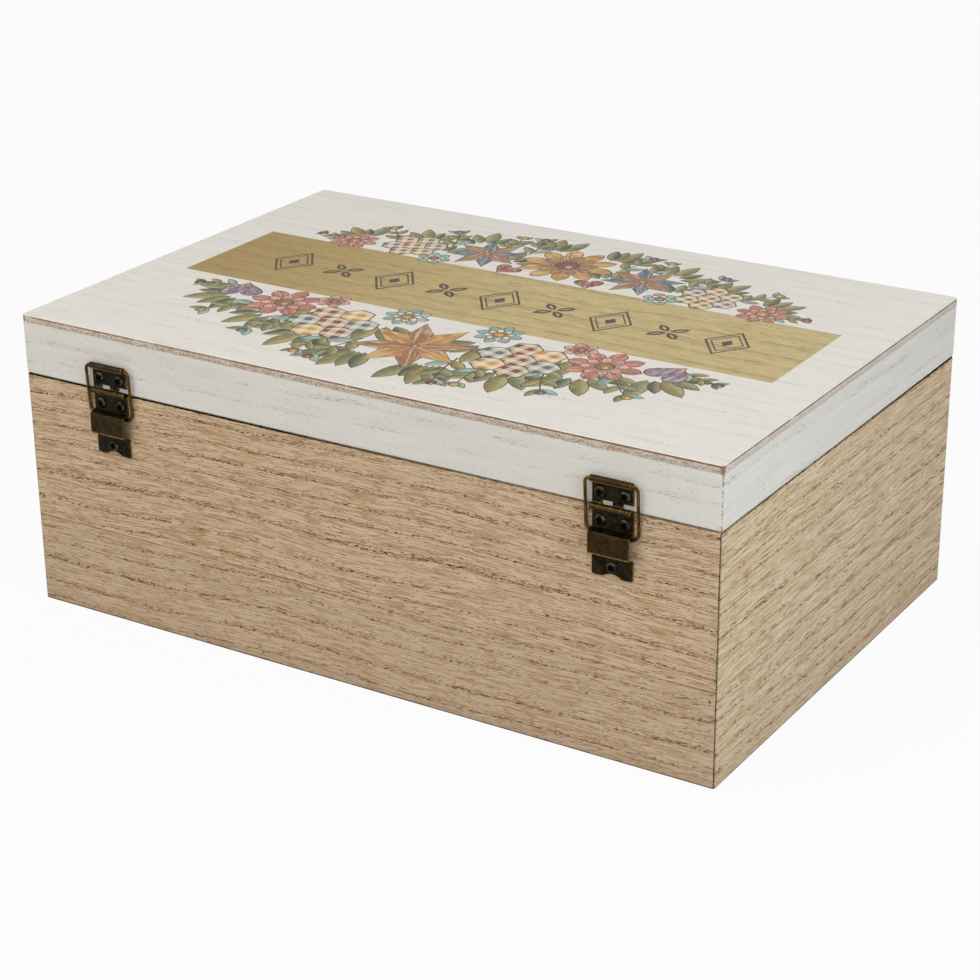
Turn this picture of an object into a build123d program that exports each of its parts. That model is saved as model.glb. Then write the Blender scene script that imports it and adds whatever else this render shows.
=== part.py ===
from build123d import *
import math
import os

# A wooden sewing box: a veneered case, a painted lid on two support hinges, a swing-hook latch
# and a lift-out tray.
#
# Frame: X runs along the length, Y across it with the latch at -Y and the hinges at +Y, and Z up.
# The origin is the centre of the underside. Left and right are those of someone facing the latch.
# Every length is in millimetres and every angle in degrees.

os.makedirs("parts", exist_ok=True)

# ---------------------------------------------------------------- case and lid
lid_length = 300.0
lid_width = 199.0
lid_height = 23.7
case_height = 96.0
lid_overhang = 0.1              # how far the painted lid stands proud of the case all round
seam_gap = 0.3                  # shadow gap between the case's rim and the closed lid
board_thickness = 9.0           # case boards and lid rails, sawn from one carcass
top_thickness = 3.0
bottom_thickness = 5.0
bottom_rebate = 4.5             # how far the bottom panel is let into each board
corner_radius = 1.2
edge_radius = 0.6

# ---------------------------------------------------------------- lift-out tray
tray_clearance = 0.8
tray_height = 34.0
tray_wall = 5.0
tray_floor_thickness = 3.0
tray_divider_thickness = 4.0
tray_rim_drop = 6.0             # from the case's rim down to the tray's rim
tray_divider_offset = 22.0      # long divider, behind the middle of the tray
front_compartments = 3
back_compartments = 5
finger_notch_radius = 11.0
ledge_width = 8.0
ledge_height = 10.0

# ---------------------------------------------------------------- support hinges
left_hinge_end_distance = 40.6  # from the lid's left end to the middle of that hinge
right_hinge_end_distance = 42.2
leaf_width = 16.0
leaf_thickness = 0.6
leaf_bend_radius = 0.5          # on the sheet's middle line
pin_radius = 0.6
running_clearance = 0.05        # radial, of every pin, rivet and bail in its bore
pin_end_length = 0.15           # how far each end of a pin stands out of the knuckles
knuckle_count = 4
knuckle_gap = 0.15
axis_standoff = 1.6             # from the lid's back face out to the pin's axis
joggle_start = 0.6              # straight run of the sheet beside a knuckle
joggle_length = 1.3
upper_cutout_height = 2.4       # windows in each leaf around the other leaf's knuckles
lower_cutout_height = 1.8
curl_height = 10.0              # from the pin's axis up to the curl's axis
curl_standoff = 1.7             # from the lid's back face out to the curl's axis
curl_joggle_length = 0.9
curl_slit_angle = 50.0          # left open where the rolled edge comes back to the sheet
curl_slit_direction = 240.0     # from straight out of the lid, anticlockwise seen from +X
bail_wire_radius = 0.6
bail_side_reach = 2.15          # from each end of the curl to the middle of a side bar
bail_drop = 20.0                # from the curl's axis down to the bottom bar, lid closed
bail_wall_gap = 0.1             # between the bottom bar and the case, lid closed
bail_corner_radius = 3.0
bail_end_clearance = 0.15       # between the curl's ends and the bail's bends
bridge_clearance = 0.15         # between the bottom bar's path and the bridge
bridge_step_height = 1.0        # slope of the sheet from the plate out to the bridge
tab_step_height = 1.6           # slope of the sheet from the bridge back to the tab
tab_length = 7.4
tab_notch_width = 7.2
tab_notch_depth = 1.3
tab_corner_radius = 0.8
lid_stop_angle = 90.0           # the lid's travel, which the bails end

# ---------------------------------------------------------------- hinge screws
hinge_screw_head_radius = 2.35
hinge_screw_head_height = 1.3
hinge_screw_shank_radius = 1.2
hinge_screw_length = 7.6        # below the head
hinge_screw_spacing = 9.5
upper_screw_height = 5.3        # from the pin's axis
lower_screw_drop = 5.0
tab_screw_drop = 3.6            # from the top of the tab
screw_hole_clearance = 0.05     # radial, in the wood and in the metal
screw_tip_length = 1.5
recess_width = 0.7
recess_length = 2.6
recess_depth = 0.7

# ---------------------------------------------------------------- swing-hook latch
latch_plate_width = 24.0
latch_plate_height = 12.0
latch_plate_thickness = 0.8
latch_plate_corner_radius = 2.0
latch_plate_drop = 12.0         # from the case's rim down to the rivet
latch_stud_rise = 9.5           # from the lid's bottom edge up to the stud
latch_screw_spacing = 17.0
latch_screw_head_radius = 1.8
latch_screw_head_height = 0.8
latch_screw_shank_radius = 0.9
latch_screw_length = 7.0
latch_recess_width = 0.5
latch_recess_length = 2.2
latch_recess_depth = 0.45
boss_radius = 3.4
rivet_radius = 1.5
rivet_head_radius = 2.7
rivet_head_height = 1.0
stud_radius = 1.3
stud_head_radius = 2.8
stud_head_height = 1.2
hook_thickness = 1.2
hook_face_gap = 0.1             # on each face of the hook, between the boss and the rivet's head
hook_pass_gap = 0.2             # over the screws that the hook passes, and under the stud's head
hook_eye_radius = 3.8
hook_arm_width = 5.0
hook_head_radius = 5.2
hook_notch_clearance = 0.3      # between the stud and the notch that takes it
hook_tongue_length = 4.0        # finger tongue past the head
hook_lip_height = 1.2           # lip across the tongue's end
hook_lip_depth = 1.6
pin_head_rounding = 0.6         # share of a rivet's or stud's head height that is rounded

# ---------------------------------------------------------------- places that follow
case_length = lid_length - 2 * lid_overhang
case_width = lid_width - 2 * lid_overhang
lid_base_z = case_height + seam_gap
lid_top_z = lid_base_z + lid_height
rail_height = lid_height - top_thickness
inner_length = case_length - 2 * board_thickness
inner_width = case_width - 2 * board_thickness
lid_face_y = lid_width / 2
case_face_y = case_width / 2
hinge_axis_z = case_height + seam_gap / 2
hinge_side = {
    "left_hinge": left_hinge_end_distance - lid_length / 2,
    "right_hinge": lid_length / 2 - right_hinge_end_distance,
}

tray_length = inner_length - 2 * tray_clearance
tray_width = inner_width - 2 * tray_clearance
tray_base_z = case_height - tray_rim_drop - tray_height
tray_inner_z = tray_base_z + tray_floor_thickness
tray_inner_length = tray_length - 2 * tray_wall
tray_inner_width = tray_width - 2 * tray_wall

knuckle_bore = pin_radius + running_clearance
knuckle_middle = knuckle_bore + leaf_thickness / 2
knuckle_outer = knuckle_bore + leaf_thickness
knuckle_pitch = leaf_width / knuckle_count
curl_bore = bail_wire_radius + running_clearance
curl_middle = curl_bore + leaf_thickness / 2
sheet_on_lid = leaf_thickness / 2                    # middle line of a leaf on the lid's back face
sheet_on_case = leaf_thickness / 2 - lid_overhang    # and of one on the case, from the same face


# ---------------------------------------------------------------- helpers
def block(x_range, y_range, z_range):
    """A box between two corners, given as one range for each axis."""
    (x0, x1), (y0, y1), (z0, z1) = x_range, y_range, z_range
    return Pos((x0 + x1) / 2, (y0 + y1) / 2, (z0 + z1) / 2) * Box(x1 - x0, y1 - y0, z1 - z0)


def span(length, middle=0.0):
    """The range of the given length about a middle."""
    return (middle - length / 2, middle + length / 2)


def softened_block(length, width, z_range):
    """The outside of a carcass: rounded upright corners and eased edges at its top and bottom."""
    solid = block(span(length), span(width), z_range)
    solid = fillet(solid.edges().filter_by(Axis.Z), corner_radius)
    rims = solid.edges().group_by(Axis.Z)
    return fillet(rims[0] + rims[-1], edge_radius)


def outward_plane(x, y, z, facing):
    """A plane on an upright face, with its normal along the face's outward Y and its X along +-X."""
    return Plane(origin=(x, y, z), x_dir=(-facing, 0, 0), z_dir=(0, facing, 0))


def domed_screw(head_radius, head_height, shank_radius, length, recess):
    """A round-head screw along Z, with the underside of its head on the XY plane."""
    width, reach, depth = recess
    dome_radius = (head_radius**2 + head_height**2) / (2 * head_height)
    half_angle = math.asin(head_radius / dome_radius) / 2
    crown = (dome_radius * math.sin(half_angle), head_height - dome_radius * (1 - math.cos(half_angle)))
    profile = make_face(
        [
            ThreePointArc((head_radius, 0), crown, (0, head_height)),
            Line((0, head_height), (0, -length)),
            Line((0, -length), (shank_radius, screw_tip_length - length)),
            Line((shank_radius, screw_tip_length - length), (shank_radius, 0)),
            Line((shank_radius, 0), (head_radius, 0)),
        ]
    )
    screw = revolve(Plane.XZ * profile, Axis.Z)
    floor = head_height - depth
    slots = block(span(reach), span(width), (floor, head_height + depth))
    slots += block(span(width), span(reach), (floor, head_height + depth))
    return screw - slots


def group(solids):
    """One compound of solids that stay separate."""
    return Compound(children=list(solids))


def save(name, shape):
    """Write one sub-part to its own file."""
    export_step(shape, f"parts/{name}.step")


# ---------------------------------------------------------------- how the bail moves
def bail_tilt(closed_bar_y):
    """Angle of the hanging bail from upright, lid closed."""
    return math.degrees(math.atan2(curl_standoff - closed_bar_y, bail_drop))


def bail_bar(lid_angle, closed_bar_y, share):
    """Where the bail's bottom bar is, out from the lid's face and up from the pin's axis.

    The bail tilts by a fixed share of the lid's angle, added to its tilt when the lid is closed.
    """
    length = math.hypot(curl_standoff - closed_bar_y, bail_drop)
    turn = math.radians(lid_angle)
    out = curl_standoff - axis_standoff
    curl_y = axis_standoff + out * math.cos(turn) + curl_height * math.sin(turn)
    curl_z = curl_height * math.cos(turn) - out * math.sin(turn)
    tilt = math.radians(bail_tilt(closed_bar_y) + share * lid_angle)
    return curl_y - length * math.sin(tilt), curl_z - length * math.cos(tilt)


closed_bar_y = bail_wire_radius + bail_wall_gap - lid_overhang
bail_length = math.hypot(curl_standoff - closed_bar_y, bail_drop)
open_curl_y = (
    axis_standoff
    + (curl_standoff - axis_standoff) * math.cos(math.radians(lid_stop_angle))
    + curl_height * math.sin(math.radians(lid_stop_angle))
)
open_tilt = math.degrees(math.asin((open_curl_y - closed_bar_y) / bail_length))
bail_share = (open_tilt - bail_tilt(closed_bar_y)) / lid_stop_angle
bar_path = [bail_bar(lid_stop_angle * step / 90, closed_bar_y, bail_share) for step in range(91)]
bar_reach_y = max(y for y, z in bar_path)
open_bar_y, open_bar_z = bar_path[-1]
bridge_y = bar_reach_y + bail_wire_radius + bridge_clearance + leaf_thickness / 2
bridge_top_z = curl_height - bail_drop + bail_wire_radius + bridge_clearance + leaf_thickness / 2
plate_end_z = bridge_top_z + bridge_step_height
tab_slope = math.atan2(tab_step_height, bridge_y - sheet_on_case)
bar_to_sheet = bail_wire_radius + bridge_clearance + leaf_thickness / 2
tab_top_z = (
    open_bar_z
    - bar_to_sheet / math.cos(tab_slope)
    - (open_bar_y - sheet_on_case) * math.tan(tab_slope)
)
tab_end_z = tab_top_z - tab_length
tab_screw_z = tab_top_z - tab_screw_drop

upper_screws = [(x, upper_screw_height) for x in span(hinge_screw_spacing)]
lower_screws = [(x, -lower_screw_drop) for x in span(hinge_screw_spacing)]
lower_screws.append((0.0, tab_screw_z))


# ---------------------------------------------------------------- case
def hinge_pilot_holes(places, face_y):
    """Pilot holes for both hinges' screws in a board whose outer face is at face_y."""
    hole = Cylinder(
        hinge_screw_shank_radius + screw_hole_clearance,
        hinge_screw_length,
        align=(Align.CENTER, Align.CENTER, Align.MAX),
    )
    return [
        outward_plane(middle + x, face_y, hinge_axis_z + z, 1) * hole
        for middle in hinge_side.values()
        for x, z in places
    ]


def latch_pilot_holes(z, face_y):
    """Pilot holes for a latch plate's two screws in the front board or rail."""
    hole = Cylinder(
        latch_screw_shank_radius + screw_hole_clearance,
        latch_screw_length,
        align=(Align.CENTER, Align.CENTER, Align.MAX),
    )
    return [outward_plane(x, -face_y, z, -1) * hole for x in span(latch_screw_spacing)]


def make_case():
    """Four boards around a bottom panel, and the two ledges that carry the tray."""
    outside = softened_block(case_length, case_width, (0, case_height))
    let_in = 2 * bottom_rebate
    bottom = block(span(inner_length + let_in), span(inner_width + let_in), (0, bottom_thickness))
    tall = (0, case_height)
    board_x = span(case_length - board_thickness)
    board_y = span(case_width - board_thickness)
    sides = {
        "case_left_board": block(span(board_thickness, board_x[0]), span(case_width), tall),
        "case_right_board": block(span(board_thickness, board_x[1]), span(case_width), tall),
        "case_front_board": block(span(inner_length), span(board_thickness, board_y[0]), tall),
        "case_back_board": block(span(inner_length), span(board_thickness, board_y[1]), tall),
    }
    pieces = {name: (board & outside) - bottom for name, board in sides.items()}
    pieces["case_back_board"] -= hinge_pilot_holes(lower_screws, case_face_y)
    pieces["case_front_board"] -= latch_pilot_holes(case_height - latch_plate_drop, case_face_y)
    pieces["case_bottom_panel"] = bottom
    ledge_z = (tray_base_z - ledge_height, tray_base_z)
    for name, middle in zip(("left", "right"), span(inner_length - ledge_width)):
        ledge = block(span(ledge_width, middle), span(inner_width), ledge_z)
        pieces[f"tray_ledge_{name}"] = ledge
    return pieces


# ---------------------------------------------------------------- lid
def make_lid():
    """Four rails under a top panel that covers them."""
    outside = softened_block(lid_length, lid_width, (lid_base_z, lid_top_z))
    rail_z = (lid_base_z, lid_top_z - top_thickness)
    between = lid_length - 2 * board_thickness
    rail_x = span(lid_length - board_thickness)
    rail_y = span(lid_width - board_thickness)
    sides = {
        "lid_left_rail": block(span(board_thickness, rail_x[0]), span(lid_width), rail_z),
        "lid_right_rail": block(span(board_thickness, rail_x[1]), span(lid_width), rail_z),
        "lid_front_rail": block(span(between), span(board_thickness, rail_y[0]), rail_z),
        "lid_back_rail": block(span(between), span(board_thickness, rail_y[1]), rail_z),
        "lid_top_panel": block(span(lid_length), span(lid_width), (rail_z[1], lid_top_z)),
    }
    pieces = {name: board & outside for name, board in sides.items()}
    pieces["lid_back_rail"] -= hinge_pilot_holes(upper_screws, lid_face_y)
    pieces["lid_front_rail"] -= latch_pilot_holes(lid_base_z + latch_stud_rise, lid_face_y)
    return pieces


# ---------------------------------------------------------------- tray
def compartment_edges(count):
    """Middles of the cross dividers that share the tray's length into equal compartments."""
    compartment = (tray_inner_length - (count - 1) * tray_divider_thickness) / count
    pitch = compartment + tray_divider_thickness
    first = -tray_inner_length / 2 + compartment + tray_divider_thickness / 2
    return [first + pitch * index for index in range(count - 1)]


def make_tray():
    """A floor, four walls and the dividers, with a finger notch in each end wall."""
    wall_z = (tray_inner_z, tray_base_z + tray_height)
    wall_x = span(tray_length - tray_wall)
    wall_y = span(tray_width - tray_wall)
    pieces = {
        "tray_floor": block(span(tray_length), span(tray_width), (tray_base_z, tray_inner_z)),
        "tray_front_wall": block(span(tray_length), span(tray_wall, wall_y[0]), wall_z),
        "tray_back_wall": block(span(tray_length), span(tray_wall, wall_y[1]), wall_z),
        "tray_long_divider": block(
            span(tray_inner_length), span(tray_divider_thickness, tray_divider_offset), wall_z
        ),
    }
    notch = Cylinder(finger_notch_radius, 2 * tray_wall, rotation=(0, 90, 0))
    for name, middle in zip(("left", "right"), wall_x):
        wall = block(span(tray_wall, middle), span(tray_inner_width), wall_z)
        pieces[f"tray_{name}_wall"] = wall - Pos(middle, 0, wall_z[1]) * notch
    divider_face = tray_divider_thickness / 2
    rows = {
        "front": (front_compartments, (-tray_inner_width / 2, tray_divider_offset - divider_face)),
        "back": (back_compartments, (tray_divider_offset + divider_face, tray_inner_width / 2)),
    }
    for row, (count, y_range) in rows.items():
        for number, middle in enumerate(compartment_edges(count), start=1):
            divider = block(span(tray_divider_thickness, middle), y_range, wall_z)
            pieces[f"tray_{row}_divider_{number}"] = divider
    return pieces


# ---------------------------------------------------------------- hinges
def sheet_section(points):
    """A bent strip of sheet metal seen from its edge, along a middle line through the points."""
    return trace(FilletPolyline(*points, radius=leaf_bend_radius), leaf_thickness)


def rolled_edge(middle_y, middle_z, bore):
    """A strip rolled right round a bore."""
    return Pos(middle_y, middle_z) * (Circle(bore + leaf_thickness) - Circle(bore))


def curl_slit():
    """The wedge that stays open where the curl's edge comes back to the sheet."""
    reach = 2 * (curl_bore + leaf_thickness)
    sides = span(curl_slit_angle, curl_slit_direction)
    corners = [(reach * math.cos(math.radians(a)), reach * math.sin(math.radians(a))) for a in sides]
    return Pos(curl_standoff, curl_height) * make_face(Polyline((0, 0), *corners, close=True))


def hinge_plane(middle):
    """Section plane of a hinge: out from the lid's back face, and up from the pin's axis."""
    origin = (middle, lid_face_y, hinge_axis_z)
    return Plane(origin=origin, x_dir=(0, 1, 0), z_dir=(1, 0, 0))


def leaf_cutouts(section_plane, own_first, z_range):
    """Blocks that clear one leaf away from the other leaf's knuckles."""
    reach = axis_standoff + knuckle_outer + knuckle_gap
    cutouts = []
    for index in range(knuckle_count):
        start = leaf_width / 2 - (index + 1) * knuckle_pitch
        if (index % 2 == 0) == own_first:
            trimmed = (start + knuckle_gap / 2, start + knuckle_pitch - knuckle_gap / 2)
            for side in ((start, trimmed[0]), (trimmed[1], start + knuckle_pitch)):
                cutouts.append((side, (-knuckle_outer - knuckle_gap, knuckle_outer + knuckle_gap)))
        else:
            cutouts.append(((start, start + knuckle_pitch), z_range))
    return [
        section_plane.location
        * block((-reach, reach + knuckle_outer), heights, across)
        for across, heights in cutouts
    ]


def screw_holes(places, middle, sheet_y):
    """Holes through a leaf for its screws."""
    hole = Cylinder(hinge_screw_shank_radius + screw_hole_clearance, 2 * leaf_thickness)
    return [
        outward_plane(middle + x, lid_face_y + sheet_y, hinge_axis_z + z, 1) * hole
        for x, z in places
    ]


def make_upper_leaf(middle):
    """The leaf on the lid: two knuckles, a plate with two screws, and the curl that carries the bail."""
    plane = hinge_plane(middle)
    knuckle_y = axis_standoff - knuckle_middle
    curl_y = curl_standoff - curl_middle
    curl_start = curl_height - curl_bore - leaf_thickness
    section = sheet_section(
        [
            (knuckle_y, 0),
            (knuckle_y, joggle_start),
            (sheet_on_lid, joggle_start + joggle_length),
            (sheet_on_lid, curl_start - curl_joggle_length),
            (curl_y, curl_start),
            (curl_y, curl_height),
        ]
    )
    section += rolled_edge(axis_standoff, 0, knuckle_bore)
    section += rolled_edge(curl_standoff, curl_height, curl_bore) - curl_slit()
    leaf = extrude(plane * section, amount=leaf_width / 2, both=True)
    low = -knuckle_outer - knuckle_gap
    leaf -= leaf_cutouts(plane, True, (low, upper_cutout_height))
    return leaf - screw_holes(upper_screws, middle, sheet_on_lid)


def make_lower_leaf(middle):
    """The leaf on the case: two knuckles, a plate, the bridge over the bail's bar, and a notched tab."""
    plane = hinge_plane(middle)
    knuckle_y = axis_standoff - knuckle_middle
    section = sheet_section(
        [
            (knuckle_y, 0),
            (knuckle_y, -joggle_start),
            (sheet_on_case, -joggle_start - joggle_length),
            (sheet_on_case, plate_end_z),
            (bridge_y, bridge_top_z),
            (bridge_y, tab_top_z + tab_step_height),
            (sheet_on_case, tab_top_z),
            (sheet_on_case, tab_end_z),
        ]
    )
    section += rolled_edge(axis_standoff, 0, knuckle_bore)
    leaf = extrude(plane * section, amount=leaf_width / 2, both=True)
    leaf -= leaf_cutouts(plane, False, (-lower_cutout_height, knuckle_outer + knuckle_gap))
    corners = leaf.edges().filter_by(Axis.Y).group_by(Axis.Z)[0]
    leaf = fillet(corners, tab_corner_radius)
    arch_radius = (tab_notch_width**2 / 4 + tab_notch_depth**2) / (2 * tab_notch_depth)
    arch = Cylinder(arch_radius, 4 * leaf_thickness)
    arch_z = hinge_axis_z + tab_end_z + tab_notch_depth - arch_radius
    leaf -= outward_plane(middle, lid_face_y + sheet_on_case, arch_z, 1) * arch
    return leaf - screw_holes(lower_screws, middle, sheet_on_case)


def make_pin(middle):
    """The pin through the knuckles, with slightly rounded ends."""
    pin = Cylinder(pin_radius, leaf_width + 2 * pin_end_length, rotation=(0, 90, 0))
    pin = fillet(pin.edges().filter_by(GeomType.CIRCLE), pin_radius / 3)
    return Pos(middle, lid_face_y + axis_standoff, hinge_axis_z) * pin


def make_bail(middle):
    """A closed loop of wire: top bar in the curl, bottom bar behind the bridge."""
    tilt = math.radians(bail_tilt(closed_bar_y))
    plane = Plane(
        origin=(middle, lid_face_y + curl_standoff, hinge_axis_z + curl_height),
        x_dir=(1, 0, 0),
        z_dir=(0, -math.cos(tilt), math.sin(tilt)),
    )
    left, right = span(leaf_width + 2 * bail_side_reach)
    corners = [(left, 0), (right, 0), (right, -bail_length), (left, -bail_length)]
    top_radius = bail_side_reach - bail_end_clearance
    radii = [top_radius, top_radius, bail_corner_radius, bail_corner_radius]
    loop = plane * FilletPolyline(*corners, radius=radii, close=True)
    profile = Plane(origin=loop @ 0, z_dir=loop % 0) * Circle(bail_wire_radius)
    return sweep(profile, path=loop)


def make_hinge_screws(places, middle, sheet_y):
    """The screws of one leaf, their heads seated on its outer face."""
    screw = domed_screw(
        hinge_screw_head_radius,
        hinge_screw_head_height,
        hinge_screw_shank_radius,
        hinge_screw_length,
        (recess_width, recess_length, recess_depth),
    )
    seat_y = lid_face_y + sheet_y + leaf_thickness / 2
    return group(outward_plane(middle + x, seat_y, hinge_axis_z + z, 1) * screw for x, z in places)


# ---------------------------------------------------------------- latch
hook_back = lid_overhang + latch_plate_thickness + latch_screw_head_height + hook_pass_gap
hook_front = hook_back + hook_thickness
rivet_z = case_height - latch_plate_drop
stud_z = lid_base_z + latch_stud_rise
hook_reach = stud_z - rivet_z


def make_latch_plate(z, face_y, boss_height, hole_radius):
    """A plate for the front, with a raised boss and a hole in its middle and two screw holes."""
    outline = RectangleRounded(latch_plate_width, latch_plate_height, latch_plate_corner_radius)
    plate = extrude(outline, latch_plate_thickness)
    plate += extrude(Circle(boss_radius), boss_height)
    plate -= Cylinder(hole_radius, 4 * boss_height)
    screw_hole = Cylinder(latch_screw_shank_radius + screw_hole_clearance, 4 * latch_plate_thickness)
    plate -= [Pos(x, 0) * screw_hole for x in span(latch_screw_spacing)]
    return outward_plane(0, -face_y, z, -1) * plate


def make_latch_screws(z, face_y):
    """The two small screws of one latch plate."""
    screw = domed_screw(
        latch_screw_head_radius,
        latch_screw_head_height,
        latch_screw_shank_radius,
        latch_screw_length,
        (latch_recess_width, latch_recess_length, latch_recess_depth),
    )
    seat_y = -face_y - latch_plate_thickness
    return group(outward_plane(x, seat_y, z, -1) * screw for x in span(latch_screw_spacing))


def headed_pin(radius, shoulder, head_radius, head_height):
    """A pin along Z from the XY plane, with a low domed head past its shoulder."""
    pin = extrude(Circle(radius), shoulder)
    head = extrude(Circle(head_radius), head_height)
    rim = head.edges().group_by(Axis.Z)[-1]
    return pin + Pos(0, 0, shoulder) * fillet(rim, pin_head_rounding * head_height)


def make_hook():
    """The flat hook, hanging from its rivet, with its notch open towards +X."""
    eye = Circle(hook_eye_radius)
    arm = Pos(0, -hook_reach / 2) * Rectangle(hook_arm_width, hook_reach)
    head = Pos(0, -hook_reach) * Circle(hook_head_radius)
    tongue_end = -hook_reach - hook_head_radius - hook_tongue_length
    tongue = Pos(0, (tongue_end - hook_reach) / 2) * Rectangle(hook_arm_width, -hook_reach - tongue_end)
    half_notch = stud_radius + hook_notch_clearance
    lane = Circle(hook_reach + half_notch) - Circle(hook_reach - half_notch)
    ahead = Pos(hook_head_radius, -hook_reach) * Rectangle(2 * hook_head_radius, 4 * half_notch)
    seat = Pos(0, -hook_reach) * Circle(half_notch)
    outline = eye + arm + head + tongue - (lane & ahead) - seat
    outline -= Circle(rivet_radius + running_clearance)
    hook = extrude(outline, hook_thickness)
    lip_y = (tongue_end, tongue_end + hook_lip_depth)
    hook += block(span(hook_arm_width), lip_y, (0, hook_thickness + hook_lip_height))
    return outward_plane(0, -case_face_y - hook_back, rivet_z, -1) * hook


def make_latch():
    """Both plates with their screws, the rivet and stud, and the hook between them."""
    boss = hook_back - hook_face_gap
    rivet = headed_pin(rivet_radius, hook_front + hook_face_gap, rivet_head_radius, rivet_head_height)
    stud_shoulder = hook_front - lid_overhang + hook_pass_gap
    stud = headed_pin(stud_radius, stud_shoulder, stud_head_radius, stud_head_height)
    rivet_hole = rivet_radius + running_clearance
    stud_hole = stud_radius + running_clearance
    return {
        "latch_plate": make_latch_plate(rivet_z, case_face_y, boss, rivet_hole),
        "latch_plate_screws": make_latch_screws(rivet_z, case_face_y),
        "latch_rivet": outward_plane(0, -case_face_y, rivet_z, -1) * rivet,
        "latch_hook": make_hook(),
        "stud_plate": make_latch_plate(stud_z, lid_face_y, latch_plate_thickness, stud_hole),
        "stud_plate_screws": make_latch_screws(stud_z, lid_face_y),
        "latch_stud": outward_plane(0, -lid_face_y, stud_z, -1) * stud,
    }


# ---------------------------------------------------------------- build
pieces = make_case() | make_lid() | make_tray() | make_latch()
for hinge, middle in hinge_side.items():
    pieces[f"{hinge}_upper_leaf"] = make_upper_leaf(middle)
    pieces[f"{hinge}_lower_leaf"] = make_lower_leaf(middle)
    pieces[f"{hinge}_pin"] = make_pin(middle)
    pieces[f"{hinge}_bail"] = make_bail(middle)
    pieces[f"{hinge}_upper_screws"] = make_hinge_screws(upper_screws, middle, sheet_on_lid)
    pieces[f"{hinge}_lower_screws"] = make_hinge_screws(lower_screws, middle, sheet_on_case)

for name, shape in pieces.items():
    save(name, shape)
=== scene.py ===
"""The looks of a wooden sewing box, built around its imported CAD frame.

The frame gives every board and fitting in metres: X along the box, Y from the latch at -Y to the
hinges at +Y, and Z up from the underside.  Sizes here are in millimetres unless they say otherwise,
and each finished mesh is put in its place in metres, with its object at the origin.
"""

from __future__ import annotations

import logging
import math
from contextlib import contextmanager
from dataclasses import dataclass, field
from enum import Enum
from typing import Any, Callable, Iterable, Iterator, NamedTuple, Sequence

import bmesh
import bpy
from mathutils import Euler, Matrix, Vector
from mathutils.geometry import delaunay_2d_cdt


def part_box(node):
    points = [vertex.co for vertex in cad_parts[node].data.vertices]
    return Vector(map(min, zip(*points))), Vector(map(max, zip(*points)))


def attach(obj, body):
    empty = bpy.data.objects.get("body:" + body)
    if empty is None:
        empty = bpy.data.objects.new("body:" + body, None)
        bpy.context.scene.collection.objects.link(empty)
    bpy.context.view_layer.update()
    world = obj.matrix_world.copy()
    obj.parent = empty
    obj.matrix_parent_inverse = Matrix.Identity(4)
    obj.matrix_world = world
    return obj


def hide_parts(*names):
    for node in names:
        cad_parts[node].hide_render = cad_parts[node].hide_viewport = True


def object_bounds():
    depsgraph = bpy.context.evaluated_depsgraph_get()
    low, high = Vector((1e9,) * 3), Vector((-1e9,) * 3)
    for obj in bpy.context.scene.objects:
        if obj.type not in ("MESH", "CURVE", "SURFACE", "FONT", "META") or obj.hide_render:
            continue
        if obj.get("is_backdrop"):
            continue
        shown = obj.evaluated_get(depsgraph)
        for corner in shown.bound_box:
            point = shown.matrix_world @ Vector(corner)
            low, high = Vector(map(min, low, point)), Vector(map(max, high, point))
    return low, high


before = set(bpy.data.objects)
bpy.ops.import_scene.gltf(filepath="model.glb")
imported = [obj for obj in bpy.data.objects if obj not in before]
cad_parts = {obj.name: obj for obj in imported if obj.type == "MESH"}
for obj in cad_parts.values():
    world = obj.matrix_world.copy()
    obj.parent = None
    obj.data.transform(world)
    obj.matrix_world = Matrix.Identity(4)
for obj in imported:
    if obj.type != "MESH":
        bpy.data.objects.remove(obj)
CAD_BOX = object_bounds()

LOG = logging.getLogger("sewing_box")
MM = 0.001
WELD = 0.002 * MM
PRINT_WELD = 0.001 * MM
PRINT_JOIN = 1e-4  # in millimetres
INSIDE_ONLY = 1  # the Delaunay output that leaves out what lies outside the outlines
FLAT_ANGLE = math.radians(0.6)
EDGE_ANGLE = math.radians(35)
SHARP_ANGLE = math.radians(40)

Point = tuple[float, float]
Colour = tuple[float, float, float]
Socket = bpy.types.NodeSocket
Material = bpy.types.Material
Object = bpy.types.Object
Mesh = bpy.types.Mesh


class Slot(Enum):
    """Names of the material slots."""

    VENEER = "wood_veneer"
    PAINT = "painted_wood"
    PLAIN = "plain_wood"
    BRASS = "antique_brass"
    SCREW = "screw_brass"


class Run(Enum):
    """The way a board's grain runs."""

    LENGTHWAYS = 0
    CROSSWAYS = 1


Plain = dict[Run, Material]  # the bare wood for each way that the grain runs


def run_of(board: str) -> Run:
    """The way a board's grain runs, from the board's name."""
    return Run.CROSSWAYS if "left" in board or "right" in board else Run.LENGTHWAYS


def linear(red: float, green: float, blue: float) -> Colour:
    """A colour given from 0 to 255 as a screen shows it, as scene-linear numbers."""

    def channel(value: float) -> float:
        """One of the colour's three numbers."""
        share = value / 255
        return share / 12.92 if share <= 0.04045 else ((share + 0.055) / 1.055) ** 2.4

    return channel(red), channel(green), channel(blue)


# ------------------------------------------------------------------ node trees
def arithmetic(operation: str, swapped: bool = False) -> Callable[[Value, Feed], Value]:
    """Makes a Python operator that adds one maths node.

    Args:
        operation: The node's operation.
        swapped: Whether the value stands on the operator's right.

    Returns:
        The operator, as a method of Value.
    """

    def work(value: Value, other: Feed) -> Value:
        """What the new node gives."""
        return value.shader.math(operation, *((other, value) if swapped else (value, other)))

    return work


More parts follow.
